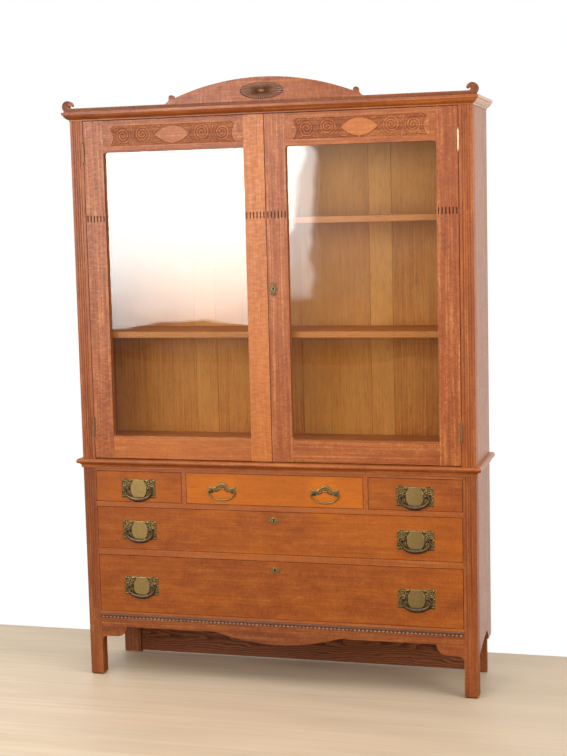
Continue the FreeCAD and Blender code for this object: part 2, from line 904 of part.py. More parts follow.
def gouges(name, side, x):
    """A band of short upright gouges across a stile."""
    pitch = (x[1] - x[0]) / GOUGE_COUNT
    level = z_cornice - d.gouge_under_head
    reach = (d.gouge_high - d.gouge_wide) / 2
    made = []
    for count in range(GOUGE_COUNT):
        middle = (x[0] + pitch * (count + 0.5)) * side
        slot_x = (middle - d.gouge_wide / 2, middle + d.gouge_wide / 2)
        slot = box(f"{name}_gouge_{count}", slot_x, (front, front + d.gouge_deep),
                   (level - reach, level + reach))
        ends = [rod(f"{name}_gouge_{count}_{word}", "y", (middle, front, end),
                    d.gouge_wide / 2, d.gouge_deep)
                for word, end in (("foot", level - reach), ("head", level + reach))]
        made += [slot] + ends
    return made


def glaze_door(word, rebate_x, rebate_z, sight_x, sight_z):
    y = (front + d.glass_set, front + d.glass_set + d.glass_thick)
    node(f"{word}_door_glass", [box(f"{word}_pane", rebate_x, y, rebate_z)])
    bead_y = (y[1], front + d.door_thick - d.bead_set)
    upright = rebate_z
    across = sight_x
    node(f"{word}_door_beads", [
        box(f"{word}_bead_first", (rebate_x[0], sight_x[0]), bead_y, upright),
        box(f"{word}_bead_second", (sight_x[1], rebate_x[1]), bead_y, upright),
        box(f"{word}_bead_low", across, bead_y, (rebate_z[0], sight_z[0])),
        box(f"{word}_bead_high", across, bead_y, (sight_z[1], rebate_z[1]))])


def lock_pocket(word, side):
    """In the right door the pocket takes the lock, in the left one its bolt and the flush bolt."""
    level = z_upper + d.lock_place
    y = front + d.door_lock_set
    if side > 0:
        pocket = box("door_lock_pocket", (door_meet, door_meet + d.door_lock_deep),
                     (y, y + d.door_lock_thick),
                     (level - d.door_lock_high / 2, level + d.door_lock_high / 2))
        return joined("right_door_pockets", [pocket, keyway("door_keyway", door_key(), y)])
    middle = y + d.door_lock_thick / 2
    thick = d.door_bolt_thick / 2 + d.bolt_fit
    high = d.door_bolt_high / 2 + d.bolt_fit
    catch = box("door_bolt_mortise", (-(door_meet + d.bolt_throw), -door_meet),
                (middle - thick, middle + thick), (level - high, level + high))
    return joined("left_door_pockets", [catch, flush_bolt_block("flush_bolt_pocket")])


def door_key():
    return (door_meet + d.door_key_place, z_upper + d.lock_place)


def keyway(name, at, depth):
    """The slot through the wood from the face to the lock."""
    x, z = at
    return box(name, (x - d.keyhole_wide / 2, x + d.keyhole_wide / 2), (front, depth),
               (z - d.keyhole_high / 2, z + d.keyhole_high / 2))


def flush_bolt_block(name):
    y = front + d.door_thick / 2
    reach = d.flush_bolt_wide / 2
    return box(name, (-(door_meet + d.flush_bolt_wide), -door_meet), (y - reach, y + reach),
               (door_head - d.flush_bolt_long, door_head))


def build_flush_bolt():
    x, y = flush_bolt_place()
    start = (x, y, door_head - d.flush_bolt_long + d.flush_bolt_throw)
    long = d.flush_bolt_long - d.flush_bolt_throw
    channel = rod("flush_bolt_channel", "z", start, d.flush_bolt_radius + d.bolt_fit, long)
    case = cut("flush_bolt_case", flush_bolt_block("flush_bolt_body"), [channel])
    bolt_start = (x, y, start[2] + d.bolt_fit)
    bolt = rod("flush_bolt_rod", "z", bolt_start, d.flush_bolt_radius, long - d.bolt_fit)
    node("left_door_bolt", [bolt])
    return case


def build_door_lock():
    level = z_upper + d.lock_place
    y = front + d.door_lock_set
    middle = y + d.door_lock_thick / 2
    blank = box("door_lock_body", (door_meet, door_meet + d.door_lock_deep),
                (y, y + d.door_lock_thick),
                (level - d.door_lock_high / 2, level + d.door_lock_high / 2))

    def bolt_block(name, play, length):
        thick = d.door_bolt_thick / 2 + play
        high = d.door_bolt_high / 2 + play
        return box(name, (door_meet, door_meet + length), (middle - thick, middle + thick),
                   (level - high, level + high))

    channel = bolt_block("door_bolt_channel", d.bolt_fit, d.door_bolt_long + d.bolt_fit)
    plate = key_plate("door_key_plate", door_key(), d.door_key_plate_wide, d.door_key_plate_high)
    node("right_door_lock", [cut("door_lock_case", blank, [channel]), plate])
    node("right_door_lock_bolt", [bolt_block("door_lock_bolt", zero, d.door_bolt_long)])


def key_plate(name, at, wide, high):
    """A round-ended brass plate with a keyhole, flat on the face of the wood."""
    x, z = at
    y = (front - d.key_plate_thick, front)
    long = max(wide, high, key=float)
    radius = (wide if long is high else high) / 2
    reach = long / 2 - radius
    across = (reach, radius) if long is wide else (radius, reach)
    bar = box(name + "_bar", (x - across[0], x + across[0]), y, (z - across[1], z + across[1]))
    offsets = ((reach, 0.0), (-reach, 0.0)) if long is wide else ((0.0, reach), (0.0, -reach))
    ends = [rod(f"{name}_end_{count}", "y", (x + dx, y[0], z + dz), radius, d.key_plate_thick)
            for count, (dx, dz) in enumerate(offsets)]
    slot = box(name + "_keyhole", (x - d.keyhole_wide / 2, x + d.keyhole_wide / 2), y,
               (z - d.keyhole_high / 2, z + d.keyhole_high / 2))
    return cut(name, joined(name + "_blank", [bar] + ends), [slot])


def hinge_half(name, side, level, moving):
    """One leaf of a butt hinge with its knuckles; the middle knuckle is the door's."""
    axis_x = (post_in - d.hinge_gap / 2) * side
    axis_y = front - d.barrel_stand
    leaf_x = span(side, post_in - d.hinge_leaf, post_in)
    if moving:
        leaf_x = span(side, door_out, door_out + d.hinge_leaf)
    low = level - d.hinge_long / 2
    third = d.hinge_long / 3
    bands = [(low + third + d.knuckle_gap, low + third * 2 - d.knuckle_gap)]
    if not moving:
        bands = [(low, low + third), (low + third * 2, low + d.hinge_long)]
    pieces = [box(name + "_leaf", leaf_x, (front, front + d.hinge_leaf_deep),
                  (low, low + d.hinge_long))]
    for count, (start, end) in enumerate(bands):
        pieces.append(box(f"{name}_web_{count}", leaf_x, (axis_y, front), (start, end)))
        pieces.append(rod(f"{name}_knuckle_{count}", "z", (axis_x, axis_y, start),
                          d.barrel_radius, end - start))
    bore = rod(name + "_bore", "z", (axis_x, axis_y, low), d.hinge_pin + d.pivot_fit, d.hinge_long)
    return cut(name, joined(name + "_blank", pieces), [bore])


def hinge_pin(name, side, level):
    axis_x = (post_in - d.hinge_gap / 2) * side
    axis_y = front - d.barrel_stand
    low = level - d.hinge_long / 2
    pin = rod(name + "_shaft", "z", (axis_x, axis_y, low - d.finial_radius), d.hinge_pin,
              d.hinge_long + d.finial_radius * 2)
    ends = [ball(f"{name}_finial_{count}", (axis_x, axis_y, end), d.finial_radius)
            for count, end in enumerate((low - d.finial_radius,
                                         low + d.hinge_long + d.finial_radius))]
    return joined(name, [pin] + ends)


def build_hinges(bolt_case):
    fixed = []
    pins = []
    for side, word in ((-1, "left"), (1, "right")):
        moving = []
        levels = (("low", z_upper + d.hinge_over_foot), ("high", z_cornice - d.hinge_under_head))
        for height, level in levels:
            fixed.append(hinge_half(f"{word}_{height}_post_leaf", side, level, False))
            moving.append(hinge_half(f"{word}_{height}_door_leaf", side, level, True))
            pins.append(hinge_pin(f"{word}_{height}_pin", side, level))
        if side < 0:
            moving.append(bolt_case)
        node(f"{word}_door_fittings", moving)
    node("post_hinge_leaves", fixed + pins)


# Drawers

def drawer(word, x0, x1, z0, z1, pulls, locked):
    gap = d.drawer_gap
    face_y = (front, front + d.drawer_front)
    x = (x0 + gap, x1 - gap)
    z = (z0 + gap, z1 - gap)
    rear = inner_back - d.drawer_rear_gap
    cutters = []
    plates = []
    middle_z = (z0 + z1) / 2 - d.pull_drop
    for count, (kind, place_x) in enumerate(pulls):
        name = f"{word}_pull_{count}"
        plates += pull_plate(name, kind, place_x, middle_z)
        for side in (-1, 1):
            start = (place_x + d.post_half * side, front, middle_z)
            cutters.append(rod(f"{name}_bolt_hole_{side + 1}", "y", start,
                               d.pull_shank + d.pivot_fit, d.drawer_front))
        bail = bail_shape(kind, place_x, middle_z)
        item = doc.addObject("Part::Feature", name + "_bail_rod")
        item.Shape = bail
        item.Placement = FreeCAD.Placement()
        hand = "" if len(pulls) == 1 else ("left_", "right_")[count]
        node(f"{word}_drawer_{hand}bail", [item])
    if locked:
        cutters += drawer_lock(word, z[1])
    lap = front + d.drawer_front - d.dovetail_lap
    blank = box(f"{word}_front_board", x, face_y, z)
    side_z = (z0 + d.slide_gap, z1 - d.side_below_top)
    walls = []
    bottom_z = (z0 + d.bottom_lift, z0 + d.bottom_lift + d.drawer_bottom)
    groove = box(f"{word}_bottom_groove",
                 (x[0] + d.drawer_side - d.bottom_groove, x[1] - d.drawer_side + d.bottom_groove),
                 (lap, rear), bottom_z)
    lapped_z = (z[0] + d.bottom_lift, side_z[1])
    for hand, near in (("left", x[0]), ("right", x[1] - d.drawer_side)):
        side_x = (near, near + d.drawer_side)
        tail = box(f"{word}_{hand}_side_tail", side_x, (lap, face_y[1]), lapped_z)
        run = box(f"{word}_{hand}_side_run", side_x, (face_y[1], rear), side_z)
        cutters.append(box(f"{word}_{hand}_side_lap", side_x, (lap, face_y[1]), lapped_z))
        walls.append(cut(f"{word}_{hand}_side", joined(f"{word}_{hand}_side_blank", [run, tail]),
                         [groove]))
    inner_x = (x[0] + d.drawer_side, x[1] - d.drawer_side)
    cutters.append(box(f"{word}_front_groove", inner_x,
                       (face_y[1] - d.bottom_groove, face_y[1]), bottom_z))
    walls.append(box(f"{word}_back", inner_x, (rear - d.drawer_back, rear),
                     (bottom_z[1], z1 - d.back_below_top)))
    panel = box(f"{word}_bottom",
                (inner_x[0] - d.bottom_groove, inner_x[1] + d.bottom_groove), (face_y[1], rear),
                bottom_z)
    tongue = box(f"{word}_bottom_tongue", inner_x,
                 (face_y[1] - d.bottom_groove, face_y[1]), bottom_z)
    walls.append(joined(f"{word}_bottom_panel", [panel, tongue]))
    node(f"{word}_drawer_front", [cut(f"{word}_front_cut", blank, cutters)])
    node(f"{word}_drawer_box", walls)
    node(f"{word}_drawer_plates", plates)


def drawer_lock(word, top):
    """A cut lock let into the back of the front; its bolt shoots up into the rail."""
    y = (front + d.drawer_front - d.lock_thick, front + d.drawer_front)
    middle = lock_middle()
    z = (top - d.lock_high, top)
    x = (-d.lock_wide / 2, d.lock_wide / 2)

    def bolt_block(name, play, high):
        wide = d.lock_bolt_wide / 2 + play
        thick = d.lock_bolt_thick / 2 + play
        return box(name, (-wide, wide), (middle - thick, middle + thick), (top - high, top))

    channel = bolt_block(f"{word}_bolt_channel", d.bolt_fit, d.lock_bolt_high + d.bolt_fit)
    case = cut(f"{word}_lock_case", box(f"{word}_lock_body", x, y, z), [channel])
    level = top - d.key_place
    plate = key_plate(f"{word}_key_plate", (zero, level), d.key_plate_wide, d.key_plate_high)
    bolt = bolt_block(f"{word}_lock_bolt_bar", zero, d.lock_bolt_high)
    node(f"{word}_drawer_lock", [case, plate])
    node(f"{word}_drawer_lock_bolt", [bolt])
    return [box(f"{word}_lock_pocket", x, y, z), keyway(f"{word}_keyway", (zero, level), y[0])]


def pull_plate(name, kind, x, z):
    """The back plate and the two posts, each bolted through the drawer front."""
    face = front - d.plate_thick
    if kind == "wide":
        plate = wide_plate(name, x, z, face)
    else:
        plate = narrow_plate(name, x, z, face)
    posts = []
    holes = []
    for side in (-1, 1):
        at = x + d.post_half * side
        tag = f"{name}_{side + 1}"
        holes.append(rod(tag + "_hole", "y", (at, face, z), d.pull_shank + d.pivot_fit,
                         d.plate_thick))
        knob = rod(tag + "_post", "y", (at, front - d.pull_post_out, z), d.pull_post,
                   d.pull_post_out - d.plate_thick)
        shank = rod(tag + "_shank", "y", (at, face, z), d.pull_shank,
                    d.plate_thick + d.drawer_front)
        nut = rod(tag + "_nut", "y", (at, front + d.drawer_front, z), d.pull_nut, d.pull_nut_thick)
        pivot = rod(tag + "_pivot", "x", (at - d.pull_post, front - d.pivot_out, z),
                    d.pivot_pin + d.pivot_fit, d.pull_post * 2)
        posts.append(cut(tag + "_drilled_post", joined(tag + "_blank", [knob, shank, nut]),
                         [pivot]))
    return [cut(name + "_plate_drilled", plate, holes)] + posts


def wide_plate(name, x, z, face):
    """A rectangle with its corners nipped off round."""
    across = d.plate_wide / 2
    up = d.plate_high / 2
    nip = d.plate_corner
    path = []
    corners = ((1, -1), (1, 1), (-1, 1), (-1, -1))
    start = (across - nip, -up)
    for sx, sz in corners:
        edge_x = (across * sx, (up - nip) * sz)
        edge_z = ((across - nip) * sx, up * sz)
        first, second = (edge_z, edge_x) if sx * sz < 0 else (edge_x, edge_z)
        if path:
            path.append([first])
        path.append([quarter((across * sx, up * sz), nip, -sx, -sz), second])
    path.append([start])
    return padded(name + "_plate", "front", start, path, d.plate_thick, (x, face, z))


def narrow_plate(name, x, z, face):
    """An arched plate with fish-tail ends."""
    tail = d.arch_half
    foot = d.arch_foot
    neck = d.arch_shoulder
    waist = (tail - d.arch_tail_waist, foot)
    tip = (tail, d.arch_tail_rise)
    dip = ((tail + neck) / 2, d.arch_hollow)
    path = [
        [(tail, -foot)],
        [waist, tip],
        [dip, (neck, foot)],
        [(zero, d.arch_rise), (-neck, foot)],
        [(-dip[0], dip[1]), (-tip[0], tip[1])],
        [(-waist[0], waist[1]), (-tail, -foot)],
    ]
    return padded(name + "_plate", "front", (-tail, -foot), path, d.plate_thick, (x, face, z))


def bail_shape(kind, x, z):
    """A round rod in three tangent arcs, hung on two pins through the posts."""
    rod_r = float(d.wide_rod if kind == "wide" else d.narrow_rod)
    drop = float(d.wide_bail_drop if kind == "wide" else d.narrow_bail_drop)
    reach = float(d.post_half + d.pull_post + d.bail_gap) + rod_r
    small = min(float(d.bail_shoulder), drop * SHOULDER_SHARE)
    head = float(d.bail_head)
    turn = math.pi / 2 - 2 * math.atan((drop - small) / (reach - small))
    large = small + (reach - small) / math.cos(turn)
    centre_z = (large - small) * math.sin(turn)
    y = float(front - d.pivot_out)

    def at(u, w):
        return Vector(float(x) + u, y, float(z) + w)

    def on_small(angle, side):
        return at(side * (reach - small + small * math.cos(angle)), -small * math.sin(angle))

    def on_large(angle, side):
        return at(side * large * math.cos(angle), centre_z - large * math.sin(angle))

    right = on_small(turn, 1)
    left = on_small(turn, -1)
    path = Part.Wire([
        Part.LineSegment(at(reach, head), at(reach, 0)).toShape(),
        Part.Arc(at(reach, 0), on_small(turn / 2, 1), right).toShape(),
        Part.Arc(right, on_large(math.pi / 2, 1), left).toShape(),
        Part.Arc(left, on_small(turn / 2, -1), at(-reach, 0)).toShape(),
        Part.LineSegment(at(-reach, 0), at(-reach, head)).toShape(),
    ])
    ring = Part.Wire([Part.makeCircle(rod_r, at(reach, head), Vector(0, 0, 1))])
    shape = path.makePipeShell([ring], True, True)
    pin_long = reach - float(d.post_half - d.pull_post)
    for side in (-1, 1):
        start = at(side * reach, 0)
        pin = Part.makeCylinder(float(d.pivot_pin), pin_long, start, Vector(-side, 0, 0))
        shape = shape.fuse(pin)
    return shape.Solids[0]


def build_drawers():
    spans = drawer_spans()
    heights = (d.top_row, d.top_row, d.top_row, d.mid_row, d.low_row)
    wide = post_in - d.wide_pull_inset
    narrow = d.divider_place - d.narrow_pull_inset
    plans = (
        ("top_left", [("wide", (spans[0][0] + spans[0][1]) / 2)], False),
        ("top_middle", [("narrow", -narrow), ("narrow", narrow)], False),
        ("top_right", [("wide", (spans[2][0] + spans[2][1]) / 2)], False),
        ("middle", [("wide", -wide), ("wide", wide)], True),
        ("bottom", [("wide", -wide), ("wide", wide)], True),
    )
    for (x0, x1, level), height, (word, pulls, locked) in zip(spans, heights, plans):
        drawer(word, x0, x1, level, level + height, pulls, locked)


def check_document():
    for item in doc.Objects:
        if {"Invalid", "Error"} & set(item.State):
            raise RuntimeError(f"{item.Name} failed: {item.State}")
    for item in nodes:
        if item.Shape.isNull() or not item.Shape.isValid() or not item.Shape.Solids:
            raise RuntimeError(f"{item.Label} has no valid solid")


build_base_frame()
build_rails()
build_runners()
build_apron()
build_mouldings()
build_upper_case()
build_crest()
for door_word, door_side in (("left", -1), ("right", 1)):
    door_frame(door_word, door_side)
build_door_lock()
build_hinges(build_flush_bolt())
build_drawers()
doc.recompute()
check_document()
os.makedirs("parts", exist_ok=True)
for item in nodes:
    item.Shape.exportStep(f"parts/{item.Label}.step")
print(len(nodes), "nodes,", sum(len(item.Shape.Solids) for item in nodes), "solids")
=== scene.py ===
import json
import math
import random
from contextlib import contextmanager

import bmesh
import bpy
import numpy as np
from mathutils import Matrix, Vector

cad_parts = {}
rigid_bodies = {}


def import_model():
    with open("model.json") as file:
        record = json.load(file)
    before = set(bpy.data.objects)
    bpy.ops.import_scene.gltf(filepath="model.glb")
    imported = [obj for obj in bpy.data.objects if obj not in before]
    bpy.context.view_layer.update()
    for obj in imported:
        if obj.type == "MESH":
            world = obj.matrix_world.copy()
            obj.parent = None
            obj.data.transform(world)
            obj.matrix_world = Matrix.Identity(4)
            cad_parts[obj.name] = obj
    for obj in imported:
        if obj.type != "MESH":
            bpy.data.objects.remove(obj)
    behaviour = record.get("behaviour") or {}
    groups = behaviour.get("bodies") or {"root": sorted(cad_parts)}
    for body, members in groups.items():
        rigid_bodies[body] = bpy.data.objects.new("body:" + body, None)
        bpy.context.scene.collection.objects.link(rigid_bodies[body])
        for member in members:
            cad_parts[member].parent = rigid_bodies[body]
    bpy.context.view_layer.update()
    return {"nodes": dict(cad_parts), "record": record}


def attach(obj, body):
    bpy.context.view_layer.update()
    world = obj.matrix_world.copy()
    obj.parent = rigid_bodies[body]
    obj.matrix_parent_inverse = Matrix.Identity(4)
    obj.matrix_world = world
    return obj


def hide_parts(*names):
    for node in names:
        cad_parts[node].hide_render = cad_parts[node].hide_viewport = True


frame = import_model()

MM = 0.001


# Places that the dressed pieces share, in metres, read from the frame
def points_of(mesh):
    """Where the vertices of a mesh lie, one row each."""
    points = np.empty(len(mesh.vertices) * 3)
    mesh.vertices.foreach_get("co", points)
    return points.reshape(-1, 3)


def box_of(name):
    """The lowest and the highest corner of a CAD node."""
    points = points_of(frame["nodes"][name].data).round(6)
    return points.min(axis=0).tolist(), points.max(axis=0).tolist()


BEHAVIOUR = frame["record"]["behaviour"]
BODY_OF = {member: body for body, members in BEHAVIOUR["bodies"].items() for member in members}
BAIL_HINGES = [joint for joint in BEHAVIOUR["joints"] if joint["child"].endswith("bail")]
DRAWERS = ("top_left_drawer", "top_middle_drawer", "top_right_drawer", "middle_drawer", "bottom_drawer")
FRONT = box_of("middle_drawer_front")[0][1]
CREST_FACE = box_of("crest_board")[0][1]


# Colours and nodes
def colour(text):
    """An sRGB hex value as linear colour."""
    parts = [int(text[i:i + 2], 16) / 255 for i in (1, 3, 5)]
    linear = [p / 12.92 if p <= 0.04045 else ((p + 0.055) / 1.055) ** 2.4 for p in parts]
    return (*linear, 1.0)


def node(tree, kind, sockets, out=0, stops=(), **settings):
    """Adds a node with its settings, ramp stops and links, and gives the output that is asked for, or all
    of them for None. Sockets go by name or number."""
    made = tree.nodes.new("ShaderNode" + kind)
    for name, value in settings.items():
        setattr(made, name, value)
    for number, (place, shade) in enumerate(stops):
        elements = made.color_ramp.elements
        stop = elements[number] if number < 2 else elements.new(place)
        stop.position = place
        stop.color = shade
    for name, value in sockets.items():
        if isinstance(value, bpy.types.NodeSocket):
            tree.links.new(value, made.inputs[name])
        else:
            made.inputs[name].default_value = value
    return made.outputs if out is None else made.outputs[out]


def per_metre(*sizes_mm):
    """How often a pattern of these sizes repeats in a metre, along each axis."""
    return tuple(1000.0 / size for size in sizes_mm)


def new_material(name):
    material = bpy.data.materials.new(name)
    material.use_nodes = True
    material.node_tree.nodes.clear()
    return material


WHITE = colour("#ffffff")
# Dark brown of dust and old polish, which also stands for painted shade
DUST_AND_SHADE_BROWN = "#2a1109"

# The scale at which a wave node draws rings 1 mm apart
RING_SCALE = 314.0


# Oak, quarter sawn, fumed and stained, rubbed down and shellacked. It shows straight pore lines along
# the grain, pale ray flakes across it, cloudy stain, and a thin soft gloss that greys at a low angle.
def shellacked_oak(name, deep, middle, pale, warm, figure=0.0, ring=14.0, rays=0.34, cloud=0.35, worn=(),
                   roughness=0.44, coat=0.05, specular=0.34, calm=0.28):
    """Figure is how much a board is flat sawn, ring its rings' distance in mm, rays the strength of its
    flakes, cloud that of its stain, calm how far patches cover its streaks, and worn where hands rub it."""
    material = new_material(name)
    tree = material.node_tree
    plank = node(tree, "Attribute", {}, out="Vector", attribute_name="plank")
    tone, grime_and_shade, flake = (node(tree, "Attribute", {}, out="Fac", attribute_name=layer)
                           for layer in ("tone", "grime_and_shade", "flake"))
    # Slow bends of the grain, a few mm sideways over 260 mm, and far more in a flat sawn board
    place = node(tree, "Mapping", {"Vector": plank, "Scale": per_metre(260, 70, 70)})
    bends = node(tree, "TexNoise", {"Vector": place, "Scale": 1.0, "Detail": 2.0}, out="Color")
    centred = node(tree, "VectorMath", {0: bends, 1: (0.5, 0.5, 0.5)}, operation="SUBTRACT")
    sway = 0.009 + 0.045 * figure
    shift = node(tree, "VectorMath", {0: centred, 1: (0.0, sway, sway)}, operation="MULTIPLY")
    bent = node(tree, "VectorMath", {0: plank, 1: shift}, operation="ADD")
    # Growth streaks 7 mm wide and about 450 mm long
    place = node(tree, "Mapping", {"Vector": bent, "Scale": per_metre(450, 7, 7)})
    streaks = node(tree, "TexNoise", {"Vector": place, "Scale": 1.0, "Detail": 5.0, "Roughness": 0.62})
    # Rings 5 to 14 mm apart, as a flat sawn board shows them in long arches
    rings = node(tree, "TexWave", {"Vector": bent, "Scale": RING_SCALE / ring, "Distortion": 2.0,
                                   "Detail": 3.0, "Detail Scale": 2.0, "Detail Roughness": 0.6},
                 out="Fac", wave_type="RINGS", rings_direction="X", wave_profile="SAW")
    grain = node(tree, "Mix", {0: 0.75 * figure, 2: streaks, 3: rings}, data_type="FLOAT")
    # Patches of 25 to 70 mm where the saw ran nearer to the rays or further off
    place = node(tree, "Mapping", {"Vector": bent, "Scale": per_metre(70, 26, 26)})
    patches = node(tree, "TexNoise", {"Vector": place, "Scale": 1.0, "Detail": 3.0, "Roughness": 0.55})
    level = node(tree, "Mix", {0: calm * (1.0 - figure), 2: grain, 3: patches}, data_type="FLOAT")
    # Short silvery ticks, finer than the flakes and less in line, drawn 6 mm wide and 9 mm long
    place = node(tree, "Mapping", {"Vector": bent, "Scale": per_metre(6, 9, 9)})
    ticks = node(tree, "TexNoise", {"Vector": place, "Scale": 1.0, "Detail": 2.0, "Roughness": 0.6,
                                    "Distortion": 1.6})
    ticks = node(tree, "Math", {0: ticks, 1: 0.5}, operation="SUBTRACT")
    level = node(tree, "Math", {0: ticks, 1: 1.2 * rays, 2: level}, operation="MULTIPLY_ADD")
    wood = node(tree, "ValToRGB", {"Fac": level}, stops=(
        (0.28, colour(deep)), (0.74, colour(pale)), (0.51, colour(middle))))
    # Stain that took unevenly, in clouds of 120 to 300 mm, and boards brighter than their neighbours
    place = node(tree, "Mapping", {"Vector": plank, "Scale": per_metre(300, 120, 120)})
    clouds = node(tree, "TexNoise", {"Vector": place, "Scale": 1.0, "Detail": 4.0})
    cloudy = node(tree, "MapRange", {"Value": clouds, 1: 0.4, 2: 0.66, 3: 0.0, 4: cloud})
    glow = node(tree, "Math", {0: cloudy, 1: tone}, operation="ADD", use_clamp=True)
    # Round the pulls the dark polish is rubbed off
    spot = node(tree, "TexCoord", {}, out="Object")
    for x, z, share in worn:
        away = node(tree, "VectorMath", {0: spot, 1: (x, FRONT, z)}, out="Value", operation="DISTANCE")
        uneven = node(tree, "Math", {0: patches, 1: 0.09, 2: away}, operation="MULTIPLY_ADD")
        near = node(tree, "MapRange", {"Value": uneven, 1: 0.075, 2: 0.16, 3: share, 4: 0.0},
                    interpolation_type="SMOOTHSTEP")
        glow = node(tree, "Math", {0: glow, 1: near}, operation="MAXIMUM")
    # Ray flakes lie across the grain, soft bars drawn 7 mm wide and 24 mm long, bolder in some boards
    place = node(tree, "Mapping", {"Vector": bent, "Scale": per_metre(7, 24, 24),
                                   "Rotation": (0.0, 0.0, 0.2)})
    lights = node(tree, "TexNoise", {"Vector": place, "Scale": 1.0, "Detail": 1.0})
    flecks = node(tree, "MapRange", {"Value": lights, 1: 0.44, 2: 0.82, 3: 0.0, 4: rays})
    flecks = node(tree, "Math", {0: flecks, 1: flake}, operation="MULTIPLY", use_clamp=True)
    shades = node(tree, "MapRange", {"Value": lights, 1: 0.5, 2: 0.3, 3: 0.0, 4: 0.25 * rays})
    shades = node(tree, "Math", {0: shades, 1: flake}, operation="MULTIPLY")
    # Open pores, in truth 0.3 mm wide, drawn 1.7 mm wide and 38 mm long so that they show
    place = node(tree, "Mapping", {"Vector": bent, "Scale": per_metre(38, 1.7, 1.7)})
    lines = node(tree, "TexNoise", {"Vector": place, "Scale": 1.0, "Detail": 2.0})
    pores = node(tree, "MapRange", {"Value": lines, 1: 0.54, 2: 0.74, 3: 0.0, 4: 0.46})
    # All of these lie over the wood in turn, and last the old polish and dust that darken the hollows, and
    # the painted shade laid into recesses and low places
    for share, over in ((glow, warm), (flecks, pale), (shades, deep), (pores, deep), (grime_and_shade, DUST_AND_SHADE_BROWN)):
        wood = node(tree, "Mix", {0: share, 6: wood, 7: colour(over)}, out=2, data_type="RGBA")
    # Pores stand open in the polish, so the gloss breaks there
    gloss = node(tree, "MapRange", {"Value": lines, 1: 0.4, 2: 0.72, 3: roughness, 4: roughness + 0.12})
    gloss = node(tree, "Math", {0: flecks, 1: -0.3, 2: gloss}, operation="MULTIPLY_ADD")
    gloss = node(tree, "Math", {0: grime_and_shade, 1: 0.45, 2: gloss}, operation="MULTIPLY_ADD", use_clamp=True)
    relief = node(tree, "Math", {0: pores, 1: flecks}, operation="SUBTRACT")
    bump = node(tree, "Bump", {"Height": relief, "Strength": 0.2, "Distance": 0.0008}, invert=True)
    shader = node(tree, "BsdfPrincipled", {
        "Base Color": wood, "Roughness": gloss, "IOR": 1.5, "Specular IOR Level": specular,
        "Coat Weight": coat, "Coat Roughness": 0.3, "Coat IOR": 1.5, "Normal": bump})
    node(tree, "OutputMaterial", {"Surface": shader}, out=None)
    return material


# Window glass, drawn and a little wavy. It is nearly colourless and mirrors what is bright.
def drawn_glass(name):
    material = new_material(name)
    tree = material.node_tree
    place = node(tree, "TexCoord", {}, out="Object")
    # Drawing waves 90 to 170 mm long
    spread = node(tree, "Mapping", {"Vector": place, "Scale": per_metre(170, 110, 90)})
    waves = node(tree, "TexNoise", {"Vector": spread, "Scale": 1.0, "Detail": 1.0})
    bump = node(tree, "Bump", {"Height": waves, "Strength": 0.35, "Distance": 0.001})
    shader = node(tree, "BsdfPrincipled", {
        "Base Color": colour("#f6faf5"), "Roughness": 0.01, "IOR": 1.5, "Transmission Weight": 1.0,
        "Normal": bump})
    # Light on its way to the boards behind goes straight through
    clear = node(tree, "BsdfTransparent", {"Color": colour("#f3f7f2")})
    rays = node(tree, "LightPath", {}, out=None)
    lamp = node(tree, "Math", {0: rays["Is Shadow Ray"], 1: rays["Is Diffuse Ray"]}, operation="MAXIMUM")
    both = node(tree, "MixShader", {0: lamp, 1: shader, 2: clear})
    node(tree, "OutputMaterial", {"Surface": both}, out=None)
    return material


# Brass, cast and lacquered, long tarnished. The lacquer wore off the high places, which shine golden,
# and green-brown tarnish sits in the hollows.
def old_brass(name, bright, dull, dark, roughness=0.36):
    material = new_material(name)
    tree = material.node_tree
    place = node(tree, "TexCoord", {}, out="Object")
    grime_and_shade = node(tree, "Attribute", {}, out="Fac", attribute_name="grime_and_shade")
    # Tarnish in spots of 9 mm
    spread = node(tree, "Mapping", {"Vector": place, "Scale": per_metre(9, 9, 9)})
    spots = node(tree, "TexNoise", {"Vector": spread, "Scale": 1.0, "Detail": 4.0, "Roughness": 0.6})
    age = node(tree, "MapRange", {"Value": spots, 1: 0.35, 2: 0.7, 3: 0.0, 4: 0.6})
    metal = node(tree, "Mix", {0: age, 6: colour(bright), 7: colour(dull)}, out=2, data_type="RGBA")
    metal = node(tree, "Mix", {0: grime_and_shade, 6: metal, 7: colour(dark)}, out=2, data_type="RGBA")
    gloss = node(tree, "MapRange", {"Value": spots, 1: 0.3, 2: 0.7, 3: roughness, 4: roughness + 0.2})
    # Casting skin, grit of 1.2 mm
    spread = node(tree, "Mapping", {"Vector": place, "Scale": per_metre(1.2, 1.2, 1.2)})
    grit = node(tree, "TexNoise", {"Vector": spread, "Scale": 1.0, "Detail": 2.0})
    bump = node(tree, "Bump", {"Height": grit, "Strength": 0.15, "Distance": 0.0004})
    shader = node(tree, "BsdfPrincipled", {
        "Base Color": metal, "Metallic": 1.0, "Roughness": gloss, "Normal": bump})
    node(tree, "OutputMaterial", {"Surface": shader}, out=None)
    return material


